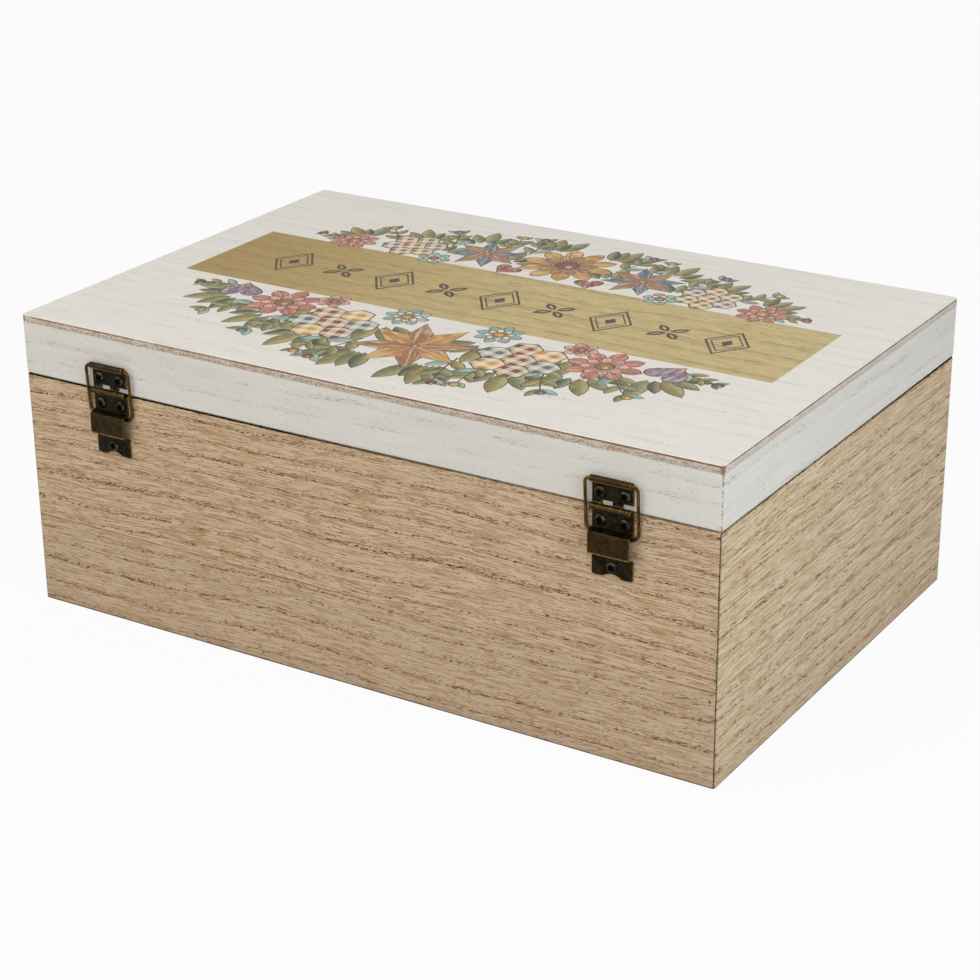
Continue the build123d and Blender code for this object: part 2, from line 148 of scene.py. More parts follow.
@dataclass(frozen=True, eq=False)
class Value:
    """What a shader works out at each point. It takes part in sums like a plain number."""

    shader: Shader
    socket: Socket

    __add__ = __radd__ = arithmetic("ADD")
    __sub__ = arithmetic("SUBTRACT")
    __rsub__ = arithmetic("SUBTRACT", swapped=True)
    __mul__ = __rmul__ = arithmetic("MULTIPLY")
    __truediv__ = arithmetic("DIVIDE")
    __pow__ = arithmetic("POWER")
    __lt__ = arithmetic("LESS_THAN")
    __gt__ = arithmetic("GREATER_THAN")

    def __abs__(self) -> Value:
        """The value without its sign."""
        return self.shader.math("ABSOLUTE", self)


Feed = float | Sequence[float] | Value
Place = tuple[Value, Value, Value]


class Fade(NamedTuple):
    """Where a smooth step from 0 to 1 starts and ends. The start may be the larger number."""

    start: float
    end: float


class Tree:
    """A node tree that starts empty and is written by short calls."""

    def __init__(self, tree: bpy.types.NodeTree) -> None:
        self.tree = tree
        tree.nodes.clear()

    def add(self, kind: str, feeds: dict[str | int, Any] | None = None, **settings: Any) -> bpy.types.Node:
        """A new node with its settings, and its inputs linked or set by name or place."""
        node = self.tree.nodes.new(kind)
        for key, value in settings.items():
            setattr(node, key, value)
        for key, value in (feeds or {}).items():
            self.feed(node.inputs[key], value)
        return node

    def feed(self, socket: Socket, value: Any) -> None:
        """Links an input, or sets it to a plain number, colour or switch."""
        source = value.socket if isinstance(value, Value) else value
        if isinstance(source, bpy.types.NodeSocket):
            self.tree.links.new(source, socket)
        elif socket.type == "RGBA":
            socket.default_value = (*source[:3], 1.0)
        else:
            socket.default_value = source


class Shader(Tree):
    """The node tree of one material."""

    def __init__(self, name: str) -> None:
        self.material = bpy.data.materials.new(name)
        self.material.use_nodes = True
        super().__init__(self.material.node_tree)
        self.gloss = self.add("ShaderNodeBsdfPrincipled")
        self.add("ShaderNodeOutputMaterial", {"Surface": self.gloss.outputs["BSDF"]})

    def math(self, operation: str, *values: Feed) -> Value:
        """The result of one maths operation on up to three numbers."""
        node = self.add("ShaderNodeMath", dict(enumerate(values)), operation=operation)
        return Value(self, node.outputs[0])

    def least(self, first: Feed, second: Feed) -> Value:
        """The smaller of two numbers."""
        return self.math("MINIMUM", first, second)

    def most(self, first: Feed, second: Feed) -> Value:
        """The larger of two numbers."""
        return self.math("MAXIMUM", first, second)

    def distance(self, x: Value, y: Value) -> Value:
        """The length of the line to a point."""
        return self.math("SQRT", x**2.0 + y**2.0)

    def split(self, vector: Value) -> Place:
        """A vector's three numbers."""
        parts = self.add("ShaderNodeSeparateXYZ", {0: vector})
        return tuple(Value(self, part) for part in parts.outputs)

    def place(self) -> Place:
        """The point's own place on the box, as three numbers in millimetres."""
        where = self.add("ShaderNodeTexCoord").outputs["Object"]
        scaled = self.add("ShaderNodeVectorMath", {0: where, "Scale": 1 / MM}, operation="SCALE")
        return self.split(Value(self, scaled.outputs[0]))

    def attribute(self, name: str, output: str) -> Value:
        """A named attribute of the mesh, by one of its node's outputs."""
        return Value(self, self.add("ShaderNodeAttribute", attribute_name=name).outputs[output])

    def noise(self, where: Iterable[Feed], detail: float = 2.0, roughness: float = 0.5) -> Value:
        """A soft random field, near 0.5 on average, with features about one unit long."""
        vector = self.add("ShaderNodeCombineXYZ", dict(enumerate(where))).outputs[0]
        feeds = {"Vector": vector, "Scale": 1.0, "Detail": detail, "Roughness": roughness}
        return Value(self, self.add("ShaderNodeTexNoise", feeds).outputs[0])

    def ease(self, value: Feed, start: Feed, end: Feed) -> Value:
        """0 up to start and 1 past end, with a smooth step between, as a Fade has it."""
        feeds = {"Value": value, "From Min": start, "From Max": end}
        return Value(self, self.add("ShaderNodeMapRange", feeds, interpolation_type="SMOOTHSTEP").outputs[0])

    def choose(self, share: Feed, under: Feed, over: Feed) -> Value:
        """One number at 0 and another at 1."""
        return Value(self, self.add("ShaderNodeMix", {0: share, 2: under, 3: over}).outputs[0])

    def mix(self, amount: Feed, under: Feed, over: Feed, how: str = "MIX") -> Value:
        """One colour laid over another."""
        feeds = {0: amount, 6: under, 7: over}
        return Value(self, self.add("ShaderNodeMix", feeds, data_type="RGBA", blend_type=how).outputs[2])

    def layers(self, under: Feed, *coats: tuple[Feed, Feed]) -> Feed:
        """A colour with others laid over it in turn, each by its own amount."""
        for amount, over in coats:
            under = self.mix(amount, under, over)
        return under

    def finish(self, colour: Feed, roughness: Feed, height: Value, depth: float, **others: Feed) -> Material:
        """Joins the tree's results to the surface.

        Args:
            colour: The surface's colour.
            roughness: Its roughness.
            height: A field from 0 to 1 for the relief.
            depth: How deep that relief is, in millimetres.
            **others: More of the surface's sockets, by their own names with _ for each space.

        Returns:
            The material.
        """
        bump = self.add("ShaderNodeBump", {"Strength": 1.0, "Distance": depth * MM, "Height": height})
        surface = {"Base Color": colour, "Roughness": roughness, "Normal": bump.outputs["Normal"], **others}
        for key, value in surface.items():
            self.feed(self.gloss.inputs[key.replace("_", " ")], value)
        return self.material


# ------------------------------------------------------------------ wood
class Figure(NamedTuple):
    """What a grain draws at each point, each from 0 to 1."""

    streak: Value
    ring: Value
    pore: Value
    hair: Value


class Scatter(NamedTuple):
    """One random field of a grain: its size along and across, in millimetres, and how finely it breaks up."""

    along: float
    across: float
    detail: float = 2.0
    roughness: float = 0.6


@dataclass(frozen=True)
class Grain:
    """Open-pored grain: rows of short pores along gently wandering growth rings.

    The rings drift by `slope` and wander by `wander` and `jitter`.  A pore or a hair stands where its own
    field is above a gate, and the rings lower that gate.
    """

    onset: Fade = Fade(0.0, 0.1)
    falloff: float = 6.0
    broken: Fade = Fade(0.2, 0.46)
    hair_shift: float = 57.0
    ring_pitch: float = 7.4
    wander: float = 4.2
    jitter: float = 1.9
    slope: float = 0.012
    uneven_width: float = 19.0
    uneven_share: float = 1.6
    pore_share: float = 0.402
    bare_share: float = 0.66
    hair_gate: float = 0.6
    ring_hairs: float = 0.09
    gate_width: float = 0.05
    slow: Scatter = Scatter(115.0, 48.0, 1.0, 0.5)
    quick: Scatter = Scatter(24.0, 12.0, 1.5, 0.5)
    gaps: Scatter = Scatter(50.0, 6.0, 1.5, 0.5)
    pores: Scatter = Scatter(1.7, 0.32, 1.6, 0.55)
    streaks: Scatter = Scatter(12.0, 0.42)
    hairs: Scatter = Scatter(5.0, 0.42)

    def draw(self, shader: Shader, along: Value, across: Value, layer: Feed) -> Figure:
        """Draws the grain.

        Args:
            shader: The tree it is drawn in.
            along: The place along the grain.
            across: The place across it.
            layer: A number that differs from board to board, so that their patterns do.

        Returns:
            The fields that finishes colour.
        """

        def field_of(scatter: Scatter, side: Value) -> Value:
            """One random field, at the place along the grain and a place across it."""
            where = (along / scatter.along, side / scatter.across, layer)
            return shader.noise(where, scatter.detail, scatter.roughness)

        slow, quick = field_of(self.slow, across), field_of(self.quick, across)
        bent = across + self.slope * along + 2 * self.wander * slow + self.jitter * quick
        uneven = shader.noise((1.7, bent / self.uneven_width, layer), 1.0)
        turn = shader.math("FRACT", bent / self.ring_pitch + self.uneven_share * uneven)
        ring = shader.ease(turn, *self.onset) * (1.0 - turn) ** self.falloff
        ring = ring * shader.ease(field_of(self.gaps, bent), *self.broken)
        gate = self.bare_share + (self.pore_share - self.bare_share) * ring
        pore = shader.ease(field_of(self.pores, bent), gate, gate + self.gate_width)
        strand = self.hair_gate - self.ring_hairs * ring
        hair = shader.ease(field_of(self.hairs, bent + self.hair_shift), strand, strand + self.gate_width)
        return Figure(field_of(self.streaks, bent), ring, pore, hair)


class Edges(NamedTuple):
    """Distances from a block's outside, in millimetres."""

    inset: Value
    corner: Value
    top: Value
    base: Value


class Level(NamedTuple):
    """Grain that runs level round a block: along, across, each board's own number, and 1 on the ends."""

    along: Value
    across: Value
    layer: Value
    on_end: Value


@dataclass(frozen=True)
class Block:
    """The outside of the case or the lid, which grain and wear are measured from.

    The ends' grain is drawn out, by counting only `end_reach` of their width.  Inside the block the grain
    climbs by `turned_in` of a point's depth, so that a board's top edge carries it on.
    """

    half_length: float
    half_width: float
    base_z: float
    top_z: float
    end_reach: float = 0.65
    turned_in: float = 0.8

    def gaps(self, place: Place) -> tuple[Value, Value]:
        """How far a point is inside the ends, and inside the front and back."""
        x, y, _ = place
        return self.half_length - abs(x), self.half_width - abs(y)

    def edges(self, shader: Shader, place: Place) -> Edges:
        """How far a point is from the block's faces and edges."""
        ends, sides = self.gaps(place)
        inset = shader.most(shader.least(ends, sides), 0.0)
        top, base = self.top_z - place[2], place[2] - self.base_z
        return Edges(inset, shader.most(ends, sides), shader.most(top, inset), shader.most(base, inset))

    def level(self, shader: Shader, place: Place, inset: Value) -> Level:
        """Grain that runs level round the block's upright faces, in a different pattern on each."""
        x, y, z = place
        ends, sides = self.gaps(place)
        on_end = ends < sides
        along = shader.choose(on_end, x, self.end_reach * y)
        facing = shader.math("SIGN", 0.11 * x + 0.07 * y)
        layer = shader.choose(on_end, 6.3 * shader.math("SIGN", y), 17.9 * facing)
        return Level(along, z + self.turned_in * inset, layer, on_end)


def block_of(low_node: str, high_node: str) -> Block:
    """The block that a carcass fills, from its lowest and highest nodes."""
    base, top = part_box(low_node)[0] / MM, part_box(high_node)[1] / MM
    return Block(top.x, top.y, base.z, top.z)


CASE_BLOCK = block_of("case_right_board", "case_right_board")
LID_BLOCK = block_of("lid_right_rail", "lid_top_panel")


class EdgeLine(NamedTuple):
    """A dark line along an edge: how wide it is, in millimetres, and how dark."""

    width: float
    share: float


@dataclass(frozen=True)
class VeneerFinish:
    """Sealed oak-like veneer in two strips, with brown pores, darkened edges and paler ends, and painted
    shade at the foot and in the seam.
    """

    name: str = "oak_veneer"
    side_light: Colour = linear(211, 184, 153)
    side_deep: Colour = linear(176, 146, 110)
    end_light: Colour = linear(220, 199, 167)
    end_deep: Colour = linear(184, 156, 118)
    lower_tint: Colour = linear(184, 160, 140)
    ring: Colour = linear(139, 98, 54)
    pore: Colour = linear(88, 50, 8)
    # The colour of the dark edge lines, and of the painted shade in the seam.
    edge: Colour = linear(26, 17, 10)
    tone: Fade = Fade(0.39, 0.57)
    hair_share: float = 0.8
    ring_share: float = 0.12
    pore_share: float = 0.97
    strip_z: float = 37.0
    strip_layer: float = 31.0
    tint_share: float = 0.26
    joint_fade: Fade = Fade(0.42, 0.12)
    joint_gaps: Fade = Fade(0.36, 0.56)
    joint_gap_size: float = 22.0
    joint_share: float = 0.62
    # Painted shade: the veneer darkens towards the base.
    base_shade_fade: Fade = Fade(7.5, 0.5)
    base_shade_share: float = 0.12
    seam_shade_opening: Fade = Fade(90.0, 190.0)
    base_line: EdgeLine = EdgeLine(0.6, 0.85)
    seam_shade_line: EdgeLine = EdgeLine(0.3, 0.74)
    corner_line: EdgeLine = EdgeLine(0.58, 0.9)
    line_fade: Fade = Fade(0.22, -0.08)
    wobble_size: float = 1.7
    relief: float = 0.04
    grain: Grain = Grain()
    block: Block = CASE_BLOCK

    def make(self) -> Material:
        """The material."""
        shader = Shader(self.name)
        place = shader.place()
        edges = self.block.edges(shader, place)
        level = self.block.level(shader, place, edges.inset)
        lower = place[2] < self.strip_z
        layer = level.layer + self.strip_layer * lower
        figure = self.grain.draw(shader, level.along, level.across, layer)
        tone = shader.ease(figure.streak, *self.tone)
        loose = shader.noise((value / self.wobble_size for value in place), 3.0) - 0.5
        colour = shader.layers(
            shader.mix(tone, self.side_deep, self.side_light),
            (level.on_end, shader.mix(tone, self.end_deep, self.end_light)),
            (lower * (self.tint_share - 0.22 * level.on_end), self.lower_tint),
            (figure.hair * (self.hair_share + 0.14 * level.on_end), self.ring),
            (self.ring_share * figure.ring, self.ring),
            (self.pore_share * figure.pore, self.pore),
            (self.joint(shader, place[2] + 0.5 * loose, level.along, layer), self.pore),
            # Painted shade towards the base.
            (self.base_shade_share * shader.ease(edges.base, *self.base_shade_fade), self.pore),
        )
        colour, lines = self.darken(shader, colour, place, edges, loose, level.on_end)
        height = 0.6 - 0.6 * figure.pore + 0.3 * figure.streak
        roughness = 0.5 + 0.2 * figure.pore + 0.08 * figure.streak + 0.3 * lines
        return shader.finish(colour, roughness, height, self.relief, Specular_IOR_Level=0.15 - 0.15 * lines)

    def joint(self, shader: Shader, z: Value, along: Value, layer: Value) -> Value:
        """How dark the broken line between the two strips is."""
        broken = shader.ease(shader.noise((along / self.joint_gap_size, 4.0, layer)), *self.joint_gaps)
        return self.joint_share * shader.ease(abs(z - self.strip_z), *self.joint_fade) * broken

    def darken(
        self, shader: Shader, colour: Feed, place: Place, edges: Edges, loose: Value, on_end: Value
    ) -> tuple[Feed, Feed]:
        """Darkens the veneer's edges, and paints shade into the seam under the lid, most where it stands
        open.

        Args:
            shader: The tree.
            colour: The colour before it is darkened.
            place: The point's place.
            edges: The distances from the case's edges.
            loose: How far the lines stray there.
            on_end: 1 on the ends, which have lighter corners.

        Returns:
            The colour, and how dark the lines are.
        """
        away = shader.distance(place[0] + self.block.half_length, place[1] - self.block.half_width)
        gap_shade = shader.ease(away, *self.seam_shade_opening)
        lines: Feed = 0.0
        # The seam line is painted shade in the gap under the lid, growing away from the corner at -X, +Y; the
        # base and corner lines darken the edges themselves.
        for (width, share), distance, gain in (
            (self.base_line, edges.base, 0.0),
            (self.seam_shade_line, edges.top - 0.12 * gap_shade, 0.26 * gap_shade),
            (self.corner_line, edges.corner, -0.5 * on_end),
        ):
            start, end = (width + reach for reach in self.line_fade)
            line = shader.ease(distance + 0.45 * loose, start, end) * (gain + share)
            colour = shader.mix(line, colour, self.edge)
            lines = shader.most(line, lines)
        return colour, lines


@dataclass(frozen=True)
class PlainFinish:
    """Bare sanded basswood."""

    run: Run
    light: Colour = linear(226, 203, 166)
    deep: Colour = linear(207, 180, 140)
    pore: Colour = linear(172, 141, 102)
    tone: Fade = Fade(0.28, 0.72)
    ring_share: float = 0.35
    pore_share: float = 0.6
    gloss: float = 0.3
    plank: float = 9.0
    relief: float = 0.03
    grain: Grain = Grain(
        ring_pitch=14.0,
        wander=8.0,
        pore_share=0.56,
        bare_share=0.68,
        pores=Scatter(3.2, 0.34, 1.6, 0.55),
        streaks=Scatter(12.0, 0.7),
    )

    def make(self) -> Material:
        """The material."""
        shader = Shader(f"bare_basswood_{self.run.name.lower()}")
        x, y, z = shader.place()
        along, side = (x, y) if self.run is Run.LENGTHWAYS else (y, x)
        layer = 1.37 * shader.math("FLOOR", side / self.plank)
        figure = self.grain.draw(shader, along, z + 0.9 * side, layer)
        colour = shader.layers(
            shader.mix(shader.ease(figure.streak, *self.tone), self.deep, self.light),
            (self.ring_share * figure.ring, self.pore),
            (self.pore_share * figure.pore, self.pore),
        )
        height = 0.5 - 0.4 * figure.pore + 0.4 * figure.streak
        roughness = 0.6 + 0.15 * figure.streak
        return shader.finish(colour, roughness, height, self.relief, Specular_IOR_Level=self.gloss)


# ------------------------------------------------------------------ the lid's paint and print
class Print(Enum):
    """The kinds of printed patch, as the number that the mesh carries for each; 0 is bare paint."""

    PLAQUE = 1
    LEAF = 2
    PETAL = 3
    BEAD = 4
    LINE = 5
    CHECK = 6


class Ink(Enum):
    """The print's colours."""

    SAGE = linear(114, 118, 72)
    MOSS = linear(66, 72, 40)
    OLIVE = linear(138, 122, 64)
    TEAL = linear(138, 172, 170)
    SLATE = linear(84, 106, 122)
    ROSE = linear(186, 106, 92)
    BLUSH = linear(216, 164, 142)
    BRICK = linear(132, 68, 52)
    MUSTARD = linear(200, 148, 68)
    TAN = linear(160, 112, 66)
    BROWN = linear(66, 49, 35)
    PLUM = linear(130, 106, 128)
    CREAM = linear(238, 224, 194)
    WOOD = linear(178, 159, 120)


@dataclass(frozen=True)
class PlaqueWood:
    """The wood that is printed on the plaque, paler towards one end."""

    dim: Colour = linear(156, 128, 67)
    pale: Colour = linear(196, 177, 123)
    streak: Colour = linear(140, 113, 60)
    ring: Colour = linear(138, 108, 58)
    hair: Colour = linear(136, 108, 60)
    pore: Colour = linear(112, 84, 46)
    layer: float = 41.0
    paler: Fade = Fade(150.0, -30.0)
    streaky: Fade = Fade(0.62, 0.38)
    grain: Grain = Grain(
        ring_pitch=9.5,
        wander=7.0,
        pore_share=0.47,
        bare_share=0.64,
        hair_gate=0.57,
        pores=Scatter(4.2, 0.42, 1.6, 0.55),
        streaks=Scatter(12.0, 0.5),
        hairs=Scatter(11.0, 0.6),
    )

    def colour(self, shader: Shader, x: Value, y: Value) -> Feed:
        """The wood's colour."""
        figure = self.grain.draw(shader, x, y, self.layer)
        return shader.layers(
            shader.mix(shader.ease(x, *self.paler), self.dim, self.pale),
            (0.42 * shader.ease(figure.streak, *self.streaky), self.streak),
            (0.6 * figure.ring, self.ring),
            (0.6 * figure.hair, self.hair),
            (0.65 * figure.pore, self.pore),
        )


@dataclass(frozen=True)
class InkFinish:
    """The print's inks: a watery wash, veined leaves, rayed petals, lit beads and checked cloth."""

    wash: Colour = linear(196, 196, 196)
    full: Colour = linear(255, 255, 255)
    vein: Colour = linear(60, 62, 38)
    sheen: Colour = linear(206, 204, 150)
    heart: Colour = linear(140, 78, 66)
    wash_size: float = 4.5
    wash_tone: Fade = Fade(0.3, 0.7)
    midrib: Fade = Fade(0.13, 0.05)
    side_veins: Fade = Fade(0.09, 0.02)
    lit_side: Fade = Fade(0.15, 0.95)
    petal_root: Fade = Fade(0.35, -0.9)
    petal_rays: Fade = Fade(0.48, 0.68)
    bead_rim: Fade = Fade(0.45, 1.0)
    bead_glint: Fade = Fade(0.42, 0.1)
    cloth: Fade = Fade(0.22, 0.3)
    plaque: PlaqueWood = PlaqueWood()

    def over(self, shader: Shader, paint: Value, place: Place) -> Value:
        """The paint with the printed patches over it."""
        kind = shader.attribute("print_kind", "Fac")
        u, v, _ = shader.split(shader.attribute("print_place", "Vector"))
        x, y, _ = place

        def on(what: Print, share: Feed = 1.0) -> Value:
            """A share on the patches of one kind, and 0 elsewhere."""
            return shader.math("COMPARE", kind, float(what.value), 0.25) * share

        def waves(where: Value) -> Value:
            """Even waves of a number, from 0 to 0.5 and back."""
            return shader.math("PINGPONG", where, 0.5)

        wash = shader.noise((x / self.wash_size, y / self.wash_size, 3.0), 3.0)
        rays = shader.noise((0.8 * u, 6.0 * v, x / 9.0))
        width = abs(v)
        veins = shader.ease(waves(2.6 * u - 0.9 * width), *self.side_veins)
        ribs = shader.most(shader.ease(width, *self.midrib), veins)
        rim = shader.ease(shader.distance(u, v), *self.bead_rim)
        glint = shader.ease(shader.distance(u + 0.3, v - 0.35), *self.bead_glint)
        water = shader.mix(shader.ease(wash, *self.wash_tone), self.wash, self.full)
        washed = shader.layers(
            shader.mix(1.0, shader.attribute("print_ink", "Color"), water, "MULTIPLY"),
            (on(Print.LEAF, 0.45 * ribs), self.vein),
            (on(Print.LEAF, 0.35 * shader.ease(0.5 + 0.5 * v, *self.lit_side)), self.sheen),
            (on(Print.PETAL, 0.6 * shader.ease(u, *self.petal_root)), self.heart),
            (on(Print.PETAL, 0.4 * shader.ease(rays, *self.petal_rays)), Ink.CREAM.value),
            (on(Print.BEAD, 0.45 * rim), Ink.BROWN.value),
            (on(Print.BEAD, 0.55 * glint), Ink.CREAM.value),
            *(
                (on(Print.CHECK, 0.5 * shader.ease(waves(0.2 + 1.1 * across), *self.cloth)), Ink.CREAM.value)
                for across in (u, v)
            ),
        )
        inked = kind > Print.PLAQUE.value + 0.5
        return shader.layers(paint, (inked, washed), (on(Print.PLAQUE), self.plaque.colour(shader, x, y)))


@dataclass(frozen=True)
class PaintFinish:
    """White chalky paint, brushed along the boards and rubbed through at the lid's edges.

    A rubbed band runs round the lid, down to `band_depth`.  It starts `arris_height` below the top, with a
    crest of bare wood along its upper side, and a painted highlight on the rounded arris above it.
    """

    name: str = "rubbed_white_paint"
    white: Colour = linear(222, 216, 208)
    shade: Colour = linear(215, 210, 200)
    scratch: Colour = linear(152, 138, 122)
    top_mark: Colour = linear(166, 140, 110)
    rubbed: Colour = linear(176, 147, 121)
    bare: Colour = linear(124, 76, 30)
    chalk: Colour = linear(197, 191, 183)
    # Painted highlight on the rounded top arris.
    arris_highlight: Colour = linear(226, 220, 211)
    corner: Colour = linear(104, 84, 66)
    band_depth: float = 2.65
    arris_height: float = 0.55
    brushed: Fade = Fade(0.3, 0.7)
    scuffed: Fade = Fade(0.45, 0.58)
    ring_share: float = 0.26
    printed_share: float = 0.1
    gloss: float = 0.3
    nearer: Fade = Fade(90.0, -20.0)
    outside: Fade = Fade(0.58, 0.44)
    band_top: Fade = Fade(-0.15, 0.0)
    band_foot: Fade = Fade(0.1, -0.3)
    chalk_top: Fade = Fade(0.5, 0.8)
    chalk_foot: Fade = Fade(1.5, 1.1)
    worn: Fade = Fade(-0.12, 0.06)
    deep: Fade = Fade(0.07, 0.15)
    crest_foot: Fade = Fade(0.62, 0.42)
    crest_gaps: Fade = Fade(-0.28, -0.12)
    knocks: Fade = Fade(2.2, 1.2)
    corner_fade: Fade = Fade(0.75, 0.4)
    corner_gaps: Fade = Fade(-0.07, 0.03)
    relief: float = 0.03
    inks: InkFinish = InkFinish()
    grain: Grain = Grain(
        ring_pitch=9.0, wander=7.0, pore_share=0.49, bare_share=0.675, pores=Scatter(1.9, 0.42, 1.6, 0.55)
    )
    block: Block = LID_BLOCK

    def make(self, printed: bool) -> Material:
        """Makes the material.

        Args:
            printed: Whether the mesh carries the print's attributes.

        Returns:
            The material.
        """
        shader = Shader(f"{self.name}_printed" if printed else self.name)
        place = shader.place()
        edges = self.block.edges(shader, place)
        x, y, z = place
        if printed:
            along, across, layer, on_end = x, y + 0.7 * z, 5.0, 0.0
        else:
            along, across, layer, on_end = self.block.level(shader, place, edges.inset)
        figure = self.grain.draw(shader, along, across, layer)
        brush = shader.noise((along / 26.0, across / 3.4, layer), 3.0, 0.6)
        broad = shader.noise((along / 21.0, across / 8.0, layer))
        scuffed = 0.6 * shader.ease(broad, *self.scuffed) + 0.1 * on_end + (0.16 if printed else 0.3)
        colour = shader.layers(
            shader.mix(shader.ease(brush, *self.brushed), self.shade, self.white),
            (self.ring_share * figure.ring * scuffed, self.scratch),
            (figure.pore * scuffed, self.top_mark if printed else self.scratch),
        )
        if printed:
            colour = self.inks.over(shader, colour, place)
            colour = shader.mix(self.printed_share * figure.pore, colour, self.scratch)
        colour, crest = self.rub(shader, colour, edges, place)
        height = 0.5 - 0.4 * figure.pore + 0.1 * brush - 0.3 * crest
        return shader.finish(colour, 0.46 + 0.12 * brush, height, self.relief, Specular_IOR_Level=self.gloss)

    def rub(self, shader: Shader, paint: Value, edges: Edges, place: Place) -> tuple[Feed, Value]:
        """Rubs the paint through along the lid's edges, and paints a highlight on the rounded top arris.

        Args:
            shader: The tree.
            paint: The colour before it is rubbed.
            edges: The distances from the lid's edges.
            place: The point's place.

        Returns:
            The rubbed colour, and how much the top edge is rubbed to bare wood.
        """
        x, y, z = place

        def patches(length: float, height: float, detail: float) -> Value:
            """Random patches of a size, from about -0.3 to 0.3."""
            return shader.noise((x / length, y / length, z / height), detail, 0.65) - 0.5

        fine, dry, long = patches(0.6, 0.32, 3.0), patches(1.0, 0.4, 3.0), patches(9.0, 9.0, 1.0)
        ends, sides = self.block.gaps(place)
        kept = 0.4 * (ends < sides)
        below = edges.top - self.arris_height
        nearer = shader.ease(x, *self.nearer)
        outside = shader.ease(edges.inset, *self.outside)
        lower = shader.ease(below, *self.band_top) * outside

        depth = below + 1.2 * fine + 1.3 * long - 0.35 * nearer - self.band_depth
        band = shader.ease(depth, *self.band_foot) * lower * (1.0 - kept)
        chalky = shader.ease(below, *self.chalk_top) * shader.ease(below, *self.chalk_foot)
        worn = shader.ease(dry + 0.5 * fine + 0.35 * long - 0.09 * chalky, *self.worn)
        deep = 0.55 * shader.ease(fine + 0.6 * dry, *self.deep)
        crest = shader.ease(below + 0.5 * fine + 0.1 * kept, *self.crest_foot) * lower
        crest = crest * shader.ease(long + 0.5 * dry, *self.crest_gaps)
        strength = shader.least(0.62 + 0.28 * nearer + 0.8 * long + 0.5 * dry, 0.97)
        knock = shader.ease(edges.corner + 0.35 * below + 1.5 * fine, *self.knocks) * lower
        # Painted highlight: a paler strip on the rounded arris above the rubbed band.
        pale = shader.ease(edges.top, self.arris_height, 0.3) * outside
        corner = shader.ease(edges.corner + 1.8 * fine, *self.corner_fade)
        corner = corner * shader.ease(dry, *self.corner_gaps)
        colour = shader.layers(
            paint,
            (0.8 * band, self.chalk),
            (band * worn, self.rubbed),
            (band * deep, self.bare),
            (crest * strength, self.bare),
            (0.75 * knock, self.bare),
            (0.7 * pale, self.arris_highlight),
            (0.85 * corner, self.corner),
        )
        return colour, crest


# ------------------------------------------------------------------ metal
class WearAndSheenLine(NamedTuple):
    """A level line of rubbed brass, for wear and for painted light: its height, half its width, how far out
    it starts, and how much is rubbed.
    """

    z: float
    half: float
    standoff: float
    share: float


@dataclass(frozen=True)
class BronzeFinish:
    """Steel with an aged-brass finish: a dark olive film, rubbed to brass where it stands proud, with painted
    light on some proud faces.
    """

    name: str
    film: Colour = linear(43, 37, 24)
    shadow: Colour = linear(21, 18, 11)
    brass: Colour = linear(158, 118, 56)
    rub: float = 0.06
    mottled: Fade = Fade(0.35, 0.65)
    scuffed: Fade = Fade(0.52, 0.74)
    patchy: Fade = Fade(0.35, 0.62)
    relief: float = 0.02
    lines: tuple[WearAndSheenLine, ...] = ()
    face: float = LID_BLOCK.half_width

    def make(self) -> Material:
        """The material."""
        shader = Shader(self.name)
        x, y, z = shader.place()
        mottle = shader.noise((x / 1.8, y / 1.8, z / 1.8), 3.0, 0.6)
        scuff = shader.noise((x / 0.5, y / 0.8, z / 1.1))
        proud = abs(y) - self.face
        worn = self.rub * shader.ease(scuff, *self.scuffed)
        # Each line lays rubbed brass over the film; on the curl's face and the bridge's face it is partly
        # painted light.
        for line in self.lines:
            near = abs(z + 0.5 * mottle - (line.z + 0.25))
            ridge = shader.ease(near, line.half + 0.2, line.half)
            ridge = ridge * shader.ease(proud, line.standoff, line.standoff + 0.3)
            patchy = line.share * (0.35 + 0.65 * shader.ease(scuff, *self.patchy))
            worn = shader.most(worn, ridge * patchy)
        film = shader.mix(shader.ease(mottle, *self.mottled), self.shadow, self.film)
        colour = shader.mix(worn, film, self.brass)
        return shader.finish(colour, 0.34 + 0.2 * mottle, mottle, self.relief, Metallic=1.0)


def hinge_wear_and_sheen(axis_z: float) -> tuple[WearAndSheenLine, ...]:
    """Rubbed lines round a hinge's pin axis: knuckles, curl lip and bridge bend; the curl and bridge faces
    carry painted light too.
    """
    return (
        WearAndSheenLine(axis_z + 0.3, 0.5, 2.2, 0.17),
        # The curl's face: a broad painted highlight with a little rub.
        WearAndSheenLine(axis_z + 10.3, 1.0, 1.5, 0.07),
        WearAndSheenLine(axis_z + 9.1, 0.25, 1.2, 1.0),
        # The bridge's face: rubbed film, and painted light that sets it apart from the shaded plates beside
        # it.
        WearAndSheenLine(axis_z - 12.7, 3.6, 2.9, 0.07),
        WearAndSheenLine(axis_z - 16.6, 0.2, 2.7, 0.95),
    )


